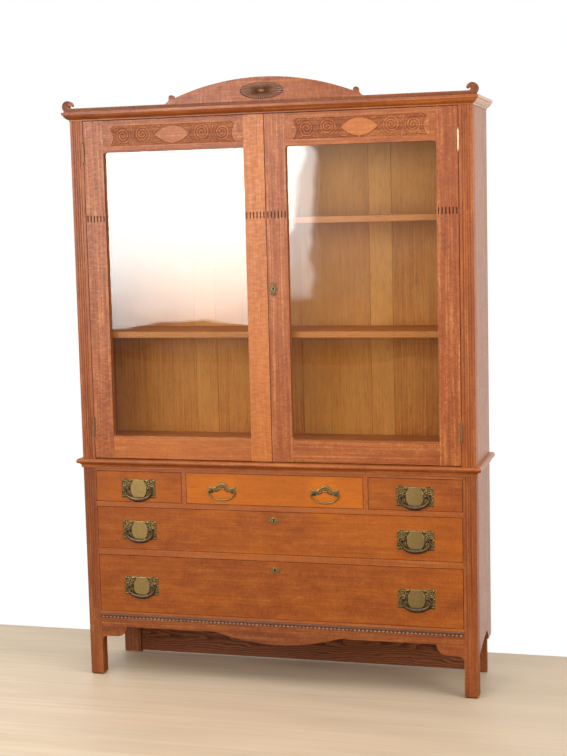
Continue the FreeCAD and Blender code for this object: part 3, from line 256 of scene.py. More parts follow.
# Floor of pale wood with a mat finish, of which only a faint grain shows. It throws back less light than
# it shows, as a floor does that lies in the shade of a room.
def pale_boards(name):
    material = new_material(name)
    tree = material.node_tree
    place = node(tree, "TexCoord", {}, out="Object")
    # Grain 16 mm wide and 900 mm long
    spread = node(tree, "Mapping", {"Vector": place, "Scale": per_metre(900, 16, 16)})
    grain = node(tree, "TexNoise", {"Vector": spread, "Scale": 1.0, "Detail": 5.0})
    wood = node(tree, "ValToRGB", {"Fac": grain}, stops=((0.3, colour("#e4caa7")), (0.7, colour("#f0dbbe"))))
    # Limed patches of 600 by 110 mm, and less light to the right, away from the window
    spread = node(tree, "Mapping", {"Vector": place, "Scale": per_metre(600, 110, 110)})
    limed = node(tree, "TexNoise", {"Vector": spread, "Scale": 1.0, "Detail": 4.0})
    limed = node(tree, "MapRange", {"Value": limed, 1: 0.42, 2: 0.68, 3: 0.0, 4: 0.5})
    along = node(tree, "SeparateXYZ", {0: place}, out="X")
    shade = node(tree, "MapRange", {"Value": along, 1: -0.8, 2: 1.2, 3: 0.0, 4: 0.62})
    for share, over in ((limed, "#d0bb9e"), (shade, "#b39f86")):
        wood = node(tree, "Mix", {0: share, 6: wood, 7: colour(over)}, out=2, data_type="RGBA")
    camera_ray = node(tree, "LightPath", {}, out="Is Camera Ray")
    seen = node(tree, "Mix", {0: camera_ray, 6: colour("#8a7258"), 7: wood}, out=2, data_type="RGBA")
    shader = node(tree, "BsdfPrincipled", {"Base Color": seen, "Roughness": 0.5, "IOR": 1.5})
    node(tree, "OutputMaterial", {"Surface": shader}, out=None)
    return material


# Where hands rub the drawers, most on the one in the middle at the top
HAND_WORN = []
for hinge in BAIL_HINGES:
    pivot_x, _, pivot_z = hinge["pos_m"]
    HAND_WORN.append((pivot_x, pivot_z, 0.95 if hinge["parent"] == "top_middle_drawer" else 0.15))

OAK_CASE = shellacked_oak("shellacked_oak_case", "#6a2f0d", "#984b17", "#c47d40", "#ae5b17")
# The warm colour of this finish is a painted sheen: the window's glare on the polish, laid into the colour
OAK_SIDES_PAINTED_SHEEN = shellacked_oak("shellacked_oak_sides_painted_sheen", "#74401f", "#9a5a2e", "#bd8256", "#cfa385", coat=0.2,
                           specular=0.55)
OAK_DOORS = shellacked_oak("shellacked_oak_doors", "#70310c", "#9d4d16", "#cd8746", "#cf7622", cloud=0.2,
                           rays=0.36)
OAK_DRAWERS = shellacked_oak("shellacked_oak_drawers", "#7a390d", "#984b14", "#b06524", "#cc6d0e",
                             rays=0.42, cloud=0.3, worn=HAND_WORN, roughness=0.5, coat=0.03,
                             specular=0.22, calm=0.5)
OAK_INSIDE = shellacked_oak("oak_inside", "#7e3b0c", "#c06918", "#de8f3c", "#ea9e4a", figure=0.18,
                            ring=9.0, rays=0.24, coat=0.0, specular=0.14)
PINE = shellacked_oak("planed_pine", "#b98a52", "#cda26c", "#dcb888", "#d2a468", figure=0.6, rays=0.0,
                      roughness=0.6, coat=0.0)
PINE_BACK = shellacked_oak("stained_pine_back", "#552710", "#83431d", "#9a5a2c", "#8a4921", figure=0.75,
                           ring=5.0, rays=0.1, roughness=0.55, coat=0.02)
GLASS = drawn_glass("drawn_window_glass")
BRASS = old_brass("tarnished_brass", "#a18652", "#7c6844", "#3c3122")
DULL_BRASS = old_brass("dulled_brass", "#8c774a", "#625234", "#2c2214", roughness=0.32)
BRONZE = old_brass("browned_brass", "#665340", "#483b30", "#221a14", roughness=0.38)
HINGE_BRASS = old_brass("worn_hinge_brass", "#d6b48c", "#b4926a", "#5c3f28")

SLOT_MATERIAL = {
    "oak_case": OAK_CASE, "oak_doors": OAK_DOORS, "oak_drawers": OAK_DRAWERS,
    "oak_inside": OAK_INSIDE, "pine": PINE, "pine_back": PINE_BACK, "brass": BRASS, "glass": GLASS}


# Bench helpers
def only(piece):
    bpy.ops.object.select_all(action="DESELECT")
    piece.select_set(True)
    bpy.context.view_layer.objects.active = piece


def added(primitive, **sizes):
    """A new primitive, with everything else deselected first."""
    bpy.ops.object.select_all(action="DESELECT")
    primitive(**sizes)
    return bpy.context.object


@contextmanager
def all_in_edit_mode():
    """Edit mode on the active piece, with all of it selected."""
    bpy.ops.object.mode_set(mode="EDIT")
    bpy.ops.mesh.select_all(action="SELECT")
    yield
    bpy.ops.object.mode_set(mode="OBJECT")


def face_outwards():
    """Turns all faces of the piece in edit mode outwards."""
    bpy.ops.mesh.select_all(action="SELECT")
    bpy.ops.mesh.normals_make_consistent(inside=False)


def fix_place():
    """Puts the active piece's place, turn and scale into its mesh."""
    bpy.ops.object.transform_apply(location=True, rotation=True, scale=True)


def round_shading(angle):
    """Soft shading of the active piece over edges up to this angle in degrees."""
    bpy.ops.object.shade_smooth_by_angle(angle=math.radians(angle))


def apply_modifiers(piece):
    only(piece)
    for modifier in list(piece.modifiers):
        bpy.ops.object.modifier_apply(modifier=modifier.name)


def smooth(piece, angle=32.0):
    """Soft shading over curves, and flat faces that stay flat."""
    only(piece)
    round_shading(angle)
    weight = piece.modifiers.new("flat", "WEIGHTED_NORMAL")
    weight.weight = 100
    weight.keep_sharp = True
    apply_modifiers(piece)


def ease(piece, width, segments=2, angle=38.0):
    """Takes the sharpness off the edges, as sandpaper does; width in mm."""
    bevel = piece.modifiers.new("eased", "BEVEL")
    bevel.width = width * MM
    bevel.segments = segments
    bevel.limit_method = "ANGLE"
    bevel.angle_limit = math.radians(angle)
    apply_modifiers(piece)
    smooth(piece)


def placed(piece, x, y, z):
    piece.data.transform(Matrix.Translation((x, y, z)))
    return piece


def copied(piece, x=0.0, y=0.0, z=0.0):
    """A copy with a mesh of its own, set off from the first by these lengths."""
    twin = bpy.data.objects.new(piece.name, piece.data.copy())
    bpy.context.scene.collection.objects.link(twin)
    return placed(twin, x, y, z)


def settle(piece, name, body, slot, stands_for=(), material=None):
    """Names a finished piece, gives it its finish and lets it ride on its body."""
    only(piece)
    fix_place()
    piece.name = name
    piece.data.name = name
    piece.data.materials.clear()
    piece.data.materials.append(material or SLOT_MATERIAL[slot])
    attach(piece, body)
    if stands_for:
        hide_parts(*stands_for)
    return piece


def merged_copy(source, name):
    """A copy of a CAD node's mesh, each board one skin with its flat faces whole. The node's triangles
    come board by board, so a board ends where its skin has closed."""
    shape = bmesh.new()
    shape.from_mesh(frame["nodes"][source].data)
    unpaired = set()
    boards = [[]]
    for face in shape.faces:
        corners = [tuple(round(value, 6) for value in vertex.co) for vertex in face.verts]
        for number in range(3):
            unpaired ^= {frozenset((corners[number], corners[number - 1]))}
        boards[-1].extend(face.verts)
        if not unpaired:
            boards.append([])
    for board in boards:
        bmesh.ops.remove_doubles(shape, verts=list(set(board)), dist=0.002 * MM)
    mesh = bpy.data.meshes.new(name)
    shape.to_mesh(mesh)
    shape.free()
    piece = bpy.data.objects.new(name, mesh)
    bpy.context.scene.collection.objects.link(piece)
    only(piece)
    with all_in_edit_mode():
        bpy.ops.mesh.dissolve_limited(angle_limit=math.radians(0.4))
    return piece


def boards_of(mesh):
    """The vertex numbers of each separate board of a mesh, ordered by where the boards lie."""
    shape = bmesh.new()
    shape.from_mesh(mesh)
    seen = set()
    boards = []
    for start in shape.verts:
        if start.index in seen:
            continue
        todo = [start]
        seen.add(start.index)
        board = []
        while todo:
            vertex = todo.pop()
            board.append(vertex.index)
            for edge in vertex.link_edges:
                other = edge.other_vert(vertex)
                if other.index not in seen:
                    seen.add(other.index)
                    todo.append(other)
        boards.append(board)
    shape.free()
    corners = [np.array([mesh.vertices[i].co for i in board]) for board in boards]
    middles = [(points.min(axis=0) + points.max(axis=0)) / 2 for points in corners]
    order = sorted(range(len(boards)), key=lambda i: tuple(np.round(middles[i], 3)))
    return [boards[i] for i in order]


# What the finishes read from each vertex: tone is how little stain a board took, and painted light where it
# is laid on; the darkening layer how much dust, old polish and painted shade lies there, flake how boldly
# the rays show, and plank the place along and across the grain
def paint(piece, layer, values):
    layers = piece.data.attributes
    painted = layers.get(layer) or layers.new(layer, "FLOAT", "POINT")
    painted.data.foreach_set("value", values)


def of_board(value, number):
    return value[number] if isinstance(value, tuple) else value


PLAIN_FLAKE = 0.45
BOARD_APART = 0.4
BOARD_MIDDLE = {}


def give_grain(piece, seed, tone=0.0, along=None, like=None, flake=PLAIN_FLAKE):
    """Lays the grain along each board and starts its figure at a place of its own, or as on another
    board. Gives the vertices' places and tones."""
    points = points_of(piece.data)
    plank = np.zeros_like(points)
    tones = np.zeros(len(points))
    flakes = np.zeros(len(points))
    for number, board in enumerate(boards_of(piece.data)):
        key = like or seed + str(number)
        draw = random.Random(key)
        low, high = points[board].min(axis=0), points[board].max(axis=0)
        axes = sorted(range(3), key=lambda axis: low[axis] - high[axis])
        if along is not None:
            axes = [along] + [axis for axis in axes if axis != along]
        start = np.array([draw.uniform(0, 9), draw.uniform(-0.05, 0.05), draw.uniform(0.03, 0.09)])
        middle = BOARD_MIDDLE.setdefault(key, (low + high) / 2)
        plank[board] = (points[board] - middle)[:, axes] + start
        plank[board, 1] += BOARD_APART * number
        tones[board] = of_board(tone, number) + draw.uniform(-0.1, 0.1)
        flakes[board] = of_board(flake, number)
    layer = piece.data.attributes.new("plank", "FLOAT_VECTOR", "POINT")
    layer.data.foreach_set("vector", plank.ravel())
    paint(piece, "tone", tones)
    paint(piece, "flake", flakes)
    return points, tones


# Boards of the case, doors and drawers. Where a board has several numbers, they go from left to right and
# from low to high.
# Dust and painted shade in the grooves cut into front faces, and on the drawer fronts' eased edges beside
# their gaps, and how deep those lie behind the front
GROOVE_SHADE_AND_DUST = {"front_legs": 0.15, "pilasters": 0.12, "left_door_stiles": 0.8, "right_door_stiles": 0.8}
for drawer in DRAWERS:
    GROOVE_SHADE_AND_DUST[drawer + "_front"] = 0.75
GROOVE_NEAR, GROOVE_FAR = 1.1 * MM, 4.0 * MM

# Boards darkened all over: painted shade on the low legs and the apron, where less light falls, and on the
# doors' rails; the shelves and the base back boards are a little darker
BOARD_DARK = {
    "front_legs": 0.18, "rear_legs": 0.2, "apron": 0.3, "base_back_boards": 0.05,
    "left_door_rails": (0.04, 0.06), "right_door_rails": (0.06, 0.08), "shelves": 0.08}

# Boards with a finish of their own within their slot
BOARD_FINISH = {
    "upper_sides": OAK_SIDES_PAINTED_SHEEN, "base_sides": OAK_SIDES_PAINTED_SHEEN, "shelves": OAK_DOORS, "case_floor": OAK_INSIDE}

# Boards that took less stain than the rest, or more
BOARD_TONE = {
    "left_door_stiles": (-0.1, 0.55), "right_door_stiles": (0.05, -0.3), "left_door_rails": (0.4, -0.3),
    "shelves": 0.8, "drawer_rails": 0.35, "top_middle_drawer_front": 0.5, "waist_moulding": 0.1,
    "upper_sides": -0.25, "base_sides": -0.3, "upper_back_boards": (0.15, 0.4, 0.1, 0.2, 0.35, 0.0)}

# How boldly the ray flakes show
BOARD_FLAKE = {
    "left_door_stiles": (0.9, 1.3), "left_door_rails": (0.15, 0.5), "right_door_stiles": (0.4, 0.25),
    "right_door_rails": (0.15, 0.25), "crest_board": 0.8, "pilasters": 0.3, "front_legs": 0.3,
    "waist_moulding": 0.2, "cornice": 0.2, "apron": 0.3}

# Where three of the boards differ along their length, in metres
BRACKET_START, BRACKET_LENGTH = 0.3, 0.2
SCROLL_START = 0.645
KNOB_MIDDLE, KNOB_HALF, KNOB_FOOT = 0.3, 0.012, 1.893
WIDE_JOINTS, JOINT_HALF = (-0.267, 0.342), 0.01
# Painted light on the back boards rises from this level and is strongest along this joint
PAINTED_LIGHT_FROM = 0.74
PAINTED_LIGHT_JOINT, PAINTED_LIGHT_HALF = 0.04, 0.006


def apron_dust(points, dark):
    """It is darker in the middle than at the brackets at its ends: painted shade."""
    return dark - 0.22 * np.clip((np.abs(points[:, 0]) - BRACKET_START) / BRACKET_LENGTH, 0.0, 1.0)


def crest_dust(points, dark):
    """Painted light: paler to the left, where the window's sheen falls, and darker to the right; the scrolls
    and knobs are darker.
    """
    from_middle = np.abs(points[:, 0])
    knobs = (np.abs(from_middle - KNOB_MIDDLE) < KNOB_HALF) & (points[:, 2] > KNOB_FOOT)
    return np.where((from_middle > SCROLL_START) | knobs, 0.5, dark + 0.05 + 0.28 * points[:, 0])


def back_dust(points, dark):
    """The joints of the boards are small hollows where dust lies, most in two of them."""
    from_wide = np.min([np.abs(points[:, 0] - x) for x in WIDE_JOINTS], axis=0)
    into = points[:, 1] - points[:, 1].min()
    joint = (into > 0.5 * MM) & (into < 4.0 * MM)
    return np.where(joint, np.where(from_wide < JOINT_HALF, 0.8, 0.3), dark)


# Darkening along three boards: painted shade on the apron, painted light and shade on the crest, dust in the
# back boards' joints
BOARD_SHADE_AND_DUST = {"apron": apron_dust, "crest_board": crest_dust, "upper_back_boards": back_dust}


def eased_boards(source, slot, width, along=None):
    """Dresses the boards of a node, their edges eased by a width in mm."""
    piece = merged_copy(source, source + "_wood")
    ease(piece, width)
    points, tones = give_grain(piece, source, BOARD_TONE.get(source, 0.0), along,
                               flake=BOARD_FLAKE.get(source, PLAIN_FLAKE))
    dark = np.zeros(len(points))
    for number, board in enumerate(boards_of(piece.data)):
        dark[board] = of_board(BOARD_DARK.get(source, 0.0), number)
    depth = points[:, 1] - FRONT
    dark[(depth > GROOVE_NEAR) & (depth < GROOVE_FAR)] = GROOVE_SHADE_AND_DUST.get(source, 0.0)
    if source in BOARD_SHADE_AND_DUST:
        dark = BOARD_SHADE_AND_DUST[source](points, dark)
    if source == "upper_back_boards":
        # Painted light: they are paler towards the top, and most along the joint behind the lock
        lit_at_joint = np.abs(points[:, 0] - PAINTED_LIGHT_JOINT) < PAINTED_LIGHT_HALF
        paint(piece, "tone", tones + 0.5 * (points[:, 2] - PAINTED_LIGHT_FROM) + np.where(lit_at_joint, 0.35, 0.0))
    paint(piece, "grime_and_shade", dark)
    return settle(piece, source + "_wood", BODY_OF[source], slot, (source,), BOARD_FINISH.get(source))


# Case boards, each eased as its edges are worn
for source, width in (
        ("front_legs", 0.6), ("rear_legs", 1.5), ("base_sides", 1.2), ("drawer_rails", 0.6),
        ("apron", 1.2), ("base_top", 1.0), ("waist_moulding", 0.6), ("cornice", 0.6), ("pilasters", 0.6),
        ("upper_sides", 1.0), ("case_top", 1.0), ("case_floor", 1.0), ("shelves", 1.2),
        ("crest_board", 1.2)):
    eased_boards(source, "oak_case", width)
eased_boards("upper_back_boards", "oak_inside", 1.6)
eased_boards("base_back_boards", "pine_back", 0.8)
eased_boards("drawer_runners", "pine", 0.8)

# Doors
for side in ("left", "right"):
    for part, width in (("stiles", 0.9), ("rails", 0.9), ("beads", 0.8)):
        eased_boards(side + "_door_" + part, "oak_doors", width)

# Drawers
for drawer in DRAWERS:
    eased_boards(drawer + "_front", "oak_drawers", 1.5, along=0)
    eased_boards(drawer + "_box", "pine", 0.6)

# The returns of the mouldings go on in the finish of the sides, and the right one of the cornice is painted
# pale: a painted highlight
for source in ("waist_moulding", "cornice"):
    front_length = bpy.data.objects[source + "_wood"]
    returns = copied(front_length)
    lengths = boards_of(returns.data)
    for piece, unwanted in ((front_length, lengths[0] + lengths[2]), (returns, lengths[1])):
        shape = bmesh.new()
        shape.from_mesh(piece.data)
        shape.verts.ensure_lookup_table()
        bmesh.ops.delete(shape, geom=[shape.verts[i] for i in unwanted], context="VERTS")
        shape.to_mesh(piece.data)
        shape.free()
    on_right = points_of(returns.data)[:, 0] > 0.0
    # Painted highlight: the right return of the cornice is made pale with the finish's sheen colour
    paint(returns, "tone", np.where(on_right & (source == "cornice"), 0.8, 0.2))
    settle(returns, source + "_returns_wood", "case", "oak_case", material=OAK_SIDES_PAINTED_SHEEN)


# Carved and cast relief
def soft_step(share):
    share = np.clip(share, 0.0, 1.0)
    return share * share * (3.0 - 2.0 * share)


def dome(share):
    """Height of a round back, 1 in the middle and 0 from a share of 1 on."""
    return np.sqrt(np.clip(1.0 - share ** 2, 0.0, 1.0))


def from_spiral(u, w, middle, outer, pitch, hand, start):
    """How far places lie from the middle of a spiral band, in mm; far off outside its last turn."""
    radius = np.hypot(u - middle[0], w - middle[1])
    turn = (hand * np.arctan2(w - middle[1], u - middle[0]) + start) / math.tau
    lap = np.round(radius / pitch - turn)
    away = np.abs(radius - pitch * (lap + turn))
    return np.where(radius < outer, away, outer)


def leaf_tip(u, w, root, heading, length, bend, broad, steps=9):
    """Height, from 0 to 1, of a curled leaf tip that tapers from its root; angles in degrees."""
    height = np.zeros_like(u)
    x, z = root
    for step in range(steps):
        radius = broad * (1.0 - 0.8 * step / (steps - 1))
        height = np.maximum(height, dome(np.hypot(u - x, w - z) / radius))
        angle = math.radians(heading + bend * step / steps)
        x += length / steps * math.cos(angle)
        z += length / steps * math.sin(angle)
    return height


def move_points(piece, u, out, w):
    """Puts the vertices to these places in mm, out towards -Y."""
    piece.data.vertices.foreach_set("co", (np.column_stack([u, -out, w]) * MM).ravel())


def relief_piece(width, height, step, shape, back):
    """A sheet in mm, raised towards -Y as shape says, with its rim turned back to a flat back."""
    piece = added(bpy.ops.mesh.primitive_grid_add, x_subdivisions=round(width / step),
                  y_subdivisions=round(height / step), size=1.0)
    points = points_of(piece.data)
    u, w, out, dark = shape(points[:, 0] * width, points[:, 1] * height)
    move_points(piece, u, out, w)
    paint(piece, "grime_and_shade", dark)
    with all_in_edit_mode():
        bpy.ops.mesh.region_to_loop()
        bpy.ops.mesh.extrude_region_move(TRANSFORM_OT_translate={"value": (0.0, 1.0 * MM, 0.0)})
        bpy.ops.transform.resize(value=(1.0, 0.0, 1.0), center_override=(0.0, back * MM, 0.0))
        bpy.ops.mesh.edge_face_add()
        face_outwards()
    round_shading(60.0)
    return piece


# Scrolls on the doors' top rails: two spirals with leaf tips each side of a plain pointed oval, on a
# sunk ground whose ends curve in. Lengths in mm from the middle of the carving.
CARVING_LEVEL = 1.777
GROUND = 1.8
GROUND_HALF = 31.5
END_LEVELS = (-33.0, -24.0, -12.0, 0.0, 8.0, 16.0, 24.0, 29.0, 33.0)
END_REACH = (212.0, 205.0, 199.0, 198.0, 201.0, 206.0, 207.0, 203.0, 190.0)
OVAL_HALF = (60.0, 29.0)
SCROLL_PITCH = 8.6
SCROLLS = (((100.0, 3.0), 27.5, 1.0), ((166.0, 0.0), 25.5, -1.0))
# Root, heading, length, bend and breadth of each leaf tip
SCROLL_LEAVES = (
    ((138.0, 27.0), -110.0, 24.0, 50.0, 4.6), ((131.0, -28.0), 70.0, 24.0, 50.0, 4.4),
    ((130.0, 27.0), 200.0, 15.0, 60.0, 3.8), ((139.0, -27.0), 20.0, 15.0, 60.0, 3.8),
    ((58.0, 0.0), 60.0, 44.0, -75.0, 3.4), ((58.0, 0.0), -60.0, 46.0, 75.0, 3.8),
    ((40.0, 25.5), 8.0, 30.0, -25.0, 4.6), ((40.0, -25.5), -8.0, 30.0, 25.0, 4.6),
    ((70.0, 15.0), 20.0, 13.0, 50.0, 3.2), ((68.0, -15.0), -20.0, 13.0, -50.0, 3.2),
    ((188.0, 27.0), 5.0, 34.0, -240.0, 4.2), ((180.0, -22.0), -25.0, 30.0, 20.0, 4.6),
    ((193.0, -3.0), -95.0, 16.0, 30.0, 3.4))


def in_oval(u, z):
    """How far inside the pointed oval's edge a place lies, in mm."""
    return OVAL_HALF[1] * (1.0 - (u / OVAL_HALF[0]) ** 2) - np.abs(z)


def scroll_carving(x, z):
    u = np.abs(x)
    height = np.zeros_like(u)
    for middle, outer, hand in SCROLLS:
        away = from_spiral(u, z, middle, outer, SCROLL_PITCH, hand, 2.2)
        height = np.maximum(height, 0.9 * soft_step(1.0 - (away - 2.0) / 1.5))
    for leaf in SCROLL_LEAVES:
        height = np.maximum(height, 0.92 * leaf_tip(u, z, *leaf))
    # A narrow moat round the oval, the stalk under it, and the wood that stands round the ground
    height = np.where(in_oval(u, z) > -2.4, 0.0, height)
    height = np.maximum(height, soft_step(in_oval(u, z) / 1.8))
    stalk = np.where(z < -26.0, 3.2 - u, -1.0)
    height = np.maximum(height, soft_step(stalk / 1.6))
    inside = np.minimum(np.interp(z, END_LEVELS, END_REACH) - u, GROUND_HALF - np.abs(z))
    height = np.maximum(height, soft_step(1.0 - inside / 1.6))
    # The sunk ground is darkened and the bands' edges are drawn as dark outlines: painted shade
    edges = soft_step(1.0 - np.abs(height - 0.3) / 0.4)
    return x, z, 0.06 - GROUND * (1.0 - height), 0.03 + 0.2 * (1.0 - height) + 0.42 * edges


scrolls = relief_piece(430.0, 71.0, 0.95, scroll_carving, 2.4)
for side in ("left", "right"):
    pane_low, pane_high = box_of(side + "_door_glass")
    middle = (pane_low[0] + pane_high[0]) / 2
    carving = copied(scrolls, middle, FRONT, CARVING_LEVEL)
    points, tones = give_grain(carving, side, along=0, like=side + "_door_rails1")
    if side == "right":
        # The oval of this door took less stain
        bare = in_oval(np.abs(points[:, 0] - middle) / MM, (points[:, 2] - CARVING_LEVEL) / MM)
        paint(carving, "tone", 0.45 * soft_step(bare / 3.0))
    settle(carving, side + "_door_carving", side + "_door", "oak_doors")
bpy.data.objects.remove(scrolls)

# Rounded corners of the door frames round the panes, which lie in a rebate
REBATE = 9.0 * MM
CORNER = 7.0 * MM
CORNER_THICK = 9.8 * MM
CORNER_MIDDLE = 5.0 * MM
corner = added(bpy.ops.mesh.primitive_cube_add, size=1.0, location=(CORNER / 2, CORNER_MIDDLE, CORNER / 2))
corner.scale = (CORNER, CORNER_THICK, CORNER)
fix_place()
round_cut = added(bpy.ops.mesh.primitive_cylinder_add, vertices=40, radius=CORNER, depth=30.0 * MM,
                  location=(CORNER, CORNER_MIDDLE, CORNER), rotation=(math.radians(90.0), 0.0, 0.0))
hollowed = corner.modifiers.new("round", "BOOLEAN")
hollowed.object = round_cut
hollowed.operation = "DIFFERENCE"
apply_modifiers(corner)
bpy.data.objects.remove(round_cut)
for side in ("left", "right"):
    pane_low, pane_high = box_of(side + "_door_glass")
    left, low = pane_low[0] + REBATE, pane_low[2] + REBATE
    right, high = pane_high[0] - REBATE, pane_high[2] - REBATE
    stiles = side + "_door_stiles"
    for word, x, z, turn, board in (
            ("low_left", left, low, 0.0, 0), ("high_left", left, high, 90.0, 0),
            ("high_right", right, high, 180.0, 1), ("low_right", right, low, 270.0, 1)):
        fillet = copied(corner)
        fillet.data.transform(Matrix.Rotation(math.radians(turn), 4, "Y"))
        placed(fillet, x, FRONT, z)
        smooth(fillet)
        give_grain(fillet, stiles, of_board(BOARD_TONE[stiles], board), along=2, like=stiles + str(board))
        settle(fillet, side + "_door_" + word + "_corner", side + "_door", "oak_doors")
bpy.data.objects.remove(corner)

# Patera: flutes that fan out from a low boss, inside a beaded rim. Reach is 0 in the middle and 1 at the
# edge, and lengths are in mm.
PATERA_HALF = (70.0, 26.0)
PATERA_LEVEL = 1898.0
FLUTES = 40
BOSS_REACH = 0.24
BEAD_REACH, BEAD_HALF = 0.9, 0.08
patera = added(bpy.ops.mesh.primitive_uv_sphere_add, segments=6 * FLUTES, ring_count=36, radius=1.0)
points = points_of(patera.data)
reach = np.arccos(np.clip(np.abs(points[:, 2]), 0.0, 1.0)) / (math.pi / 2)
# The flutes and beads are spaced evenly along the oval's edge
lap = np.linspace(-math.pi, math.pi, 2001)
walk = np.hypot(PATERA_HALF[0] * np.sin(lap), PATERA_HALF[1] * np.cos(lap)).cumsum()
walk = (walk - walk[0]) / (walk[-1] - walk[0]) * math.tau - math.pi
even = np.arctan2(points[:, 1], points[:, 0])
angle = np.interp(even, walk, lap)
flute = np.abs(np.cos(FLUTES / 2 * even)) ** 2
boss = dome(reach / BOSS_REACH)
fan = soft_step((reach - 0.1) / 0.14) * soft_step((0.84 - reach) / 0.05)
beads = dome((reach - BEAD_REACH) / BEAD_HALF) * (0.1 + 0.9 * flute)
rise = 1.2 * soft_step((1.0 - reach) / 0.04) + 1.3 * boss
rise += fan * (3.0 - 1.8 * reach) * (0.3 + 0.7 * flute) + 2.4 * beads
rise = np.where(points[:, 2] > -0.001, rise, -0.6)
move_points(patera, PATERA_HALF[0] * reach * np.cos(angle), rise - CREST_FACE / MM,
            PATERA_LEVEL + PATERA_HALF[1] * reach * np.sin(angle))
# Painted shade in the middle, between the flutes and round the rim, and painted highlights on the beads and
# the boss
open_fan = soft_step((reach - 0.45) / 0.35)
dark = 0.54 + open_fan * (0.56 - 1.08 * flute)
dark += 0.5 * soft_step((reach - 0.95) / 0.03) - 0.3 * beads - 0.14 * boss
paint(patera, "grime_and_shade", np.clip(dark, 0.0, 0.95))
only(patera)
round_shading(60.0)
give_grain(patera, "patera")
settle(patera, "patera_carving", "case", "oak_case", ("patera",), OAK_SIDES_PAINTED_SHEEN)

# Row of turned pearls on a thread, under a rounded strip
PEARL_PITCH = 13.0 * MM
PEARLS = 93
PEARL_RADIUS = 4.3 * MM
PEARL_SHAPE = (1.28, 0.85, 0.95)
THREAD_RADIUS = 1.9 * MM
ROW_LEVEL = 200.4 * MM
ROW_TOP = 204.2 * MM
ROW_LENGTH = 2 * box_of("bead_moulding")[1][0]
STRIP_LEVEL = 208.7 * MM
first_pearl = (-PEARL_PITCH * (PEARLS - 1) / 2, FRONT - 2.4 * MM, ROW_LEVEL)
pearls = added(bpy.ops.mesh.primitive_uv_sphere_add, segments=10, ring_count=7, radius=PEARL_RADIUS,
               location=first_pearl)
with all_in_edit_mode():
    bpy.ops.transform.resize(value=PEARL_SHAPE, center_override=first_pearl)
row = pearls.modifiers.new("row", "ARRAY")
row.count = PEARLS
row.use_relative_offset = False
row.use_constant_offset = True
row.constant_offset_displace = (PEARL_PITCH, 0.0, 0.0)
apply_modifiers(pearls)
bpy.ops.object.shade_smooth()
thread = added(bpy.ops.mesh.primitive_cylinder_add, vertices=10, radius=THREAD_RADIUS, depth=ROW_LENGTH,
               location=(0.0, FRONT - 1.0 * MM, ROW_LEVEL), rotation=(0.0, math.radians(90.0), 0.0))
ease(thread, 0.3)
strip = added(bpy.ops.mesh.primitive_cube_add, size=1.0, location=(0.0, FRONT - 2.0 * MM, STRIP_LEVEL))
strip.scale = (ROW_LENGTH, 8.0 * MM, 8.6 * MM)
bpy.ops.object.transform_apply(location=False, rotation=False, scale=True)
ease(strip, 2.6, segments=4)
for part in (pearls, thread):
    part.select_set(True)
bpy.ops.object.join()
fix_place()
points, tones = give_grain(strip, "bead_moulding", along=0)
# Painted shade lies deep between the pearls, and the strip is darkened
in_row = points[:, 2] < ROW_TOP
sunk = in_row & (points[:, 1] > FRONT - 3.4 * MM)
paint(strip, "grime_and_shade", np.where(sunk, 0.85, np.where(in_row, 0.14, 0.58)))
paint(strip, "tone", np.where(in_row, 0.0, -0.3))
settle(strip, "bead_moulding_pearls", "case", "oak_case", ("bead_moulding",), OAK_SIDES_PAINTED_SHEEN)


# Cast pulls
def behind_front(source, name, body):
    """The bolts, nuts or lock case behind a front board, without the plates that lie on it."""
    piece = merged_copy(source, name)
    with all_in_edit_mode():
        bpy.ops.mesh.bisect(plane_co=(0.0, FRONT + 0.2 * MM, 0.0), plane_no=(0.0, 1.0, 0.0), use_fill=True,
                            clear_inner=True)
    ease(piece, 0.25)
    return settle(piece, name, body, "brass", (source,))


def turned(profile, sides=20):
    """A turned shape that stands out towards -Y: pairs of how far out and how thick, in mm."""
    out, thick = profile[0]
    piece = added(bpy.ops.mesh.primitive_circle_add, vertices=sides, radius=thick * MM, fill_type="NGON",
                  location=(0.0, 0.0, out * MM))
    with all_in_edit_mode():
        for further, thicker in profile[1:]:
            step = (0.0, 0.0, (further - out) * MM)
            bpy.ops.mesh.extrude_region_move(TRANSFORM_OT_translate={"value": step})
            bpy.ops.transform.resize(value=(thicker / thick, thicker / thick, 1.0),
                                     center_override=(0.0, 0.0, further * MM))
            out, thick = further, thicker
        face_outwards()
    piece.rotation_euler = (math.radians(90.0), 0.0, 0.0)
    fix_place()
    round_shading(40.0)
    return piece


def meshed(drawing):
    """A curve made a mesh, with its doubles merged."""
    only(drawing)
    bpy.ops.object.convert(target="MESH")
    with all_in_edit_mode():
        bpy.ops.mesh.remove_doubles(threshold=0.01 * MM)
    return bpy.context.object


def bent_rod(stations, flat):
    """A rod along a smooth line of places (x, z, thickness) in mm, flattened front to back."""
    rod = added(bpy.ops.curve.primitive_nurbs_path_add)
    spline = rod.data.splines[0]
    spline.points.add(len(stations) - len(spline.points))
    for point, (x, z, thick) in zip(spline.points, stations):
        point.co = (x * MM, 0.0, z * MM, 1.0)
        point.radius = thick
    spline.order_u = 4
    spline.use_endpoint_u = True
    rod.data.resolution_u = 7
    rod.data.bevel_depth = MM
    rod.data.bevel_resolution = 4
    rod.data.use_fill_caps = True
    rod = meshed(rod)
    with all_in_edit_mode():
        bpy.ops.transform.resize(value=(1.0, flat, 1.0), center_override=(0.0, 0.0, 0.0))
        face_outwards()
    round_shading(50.0)
    return rod


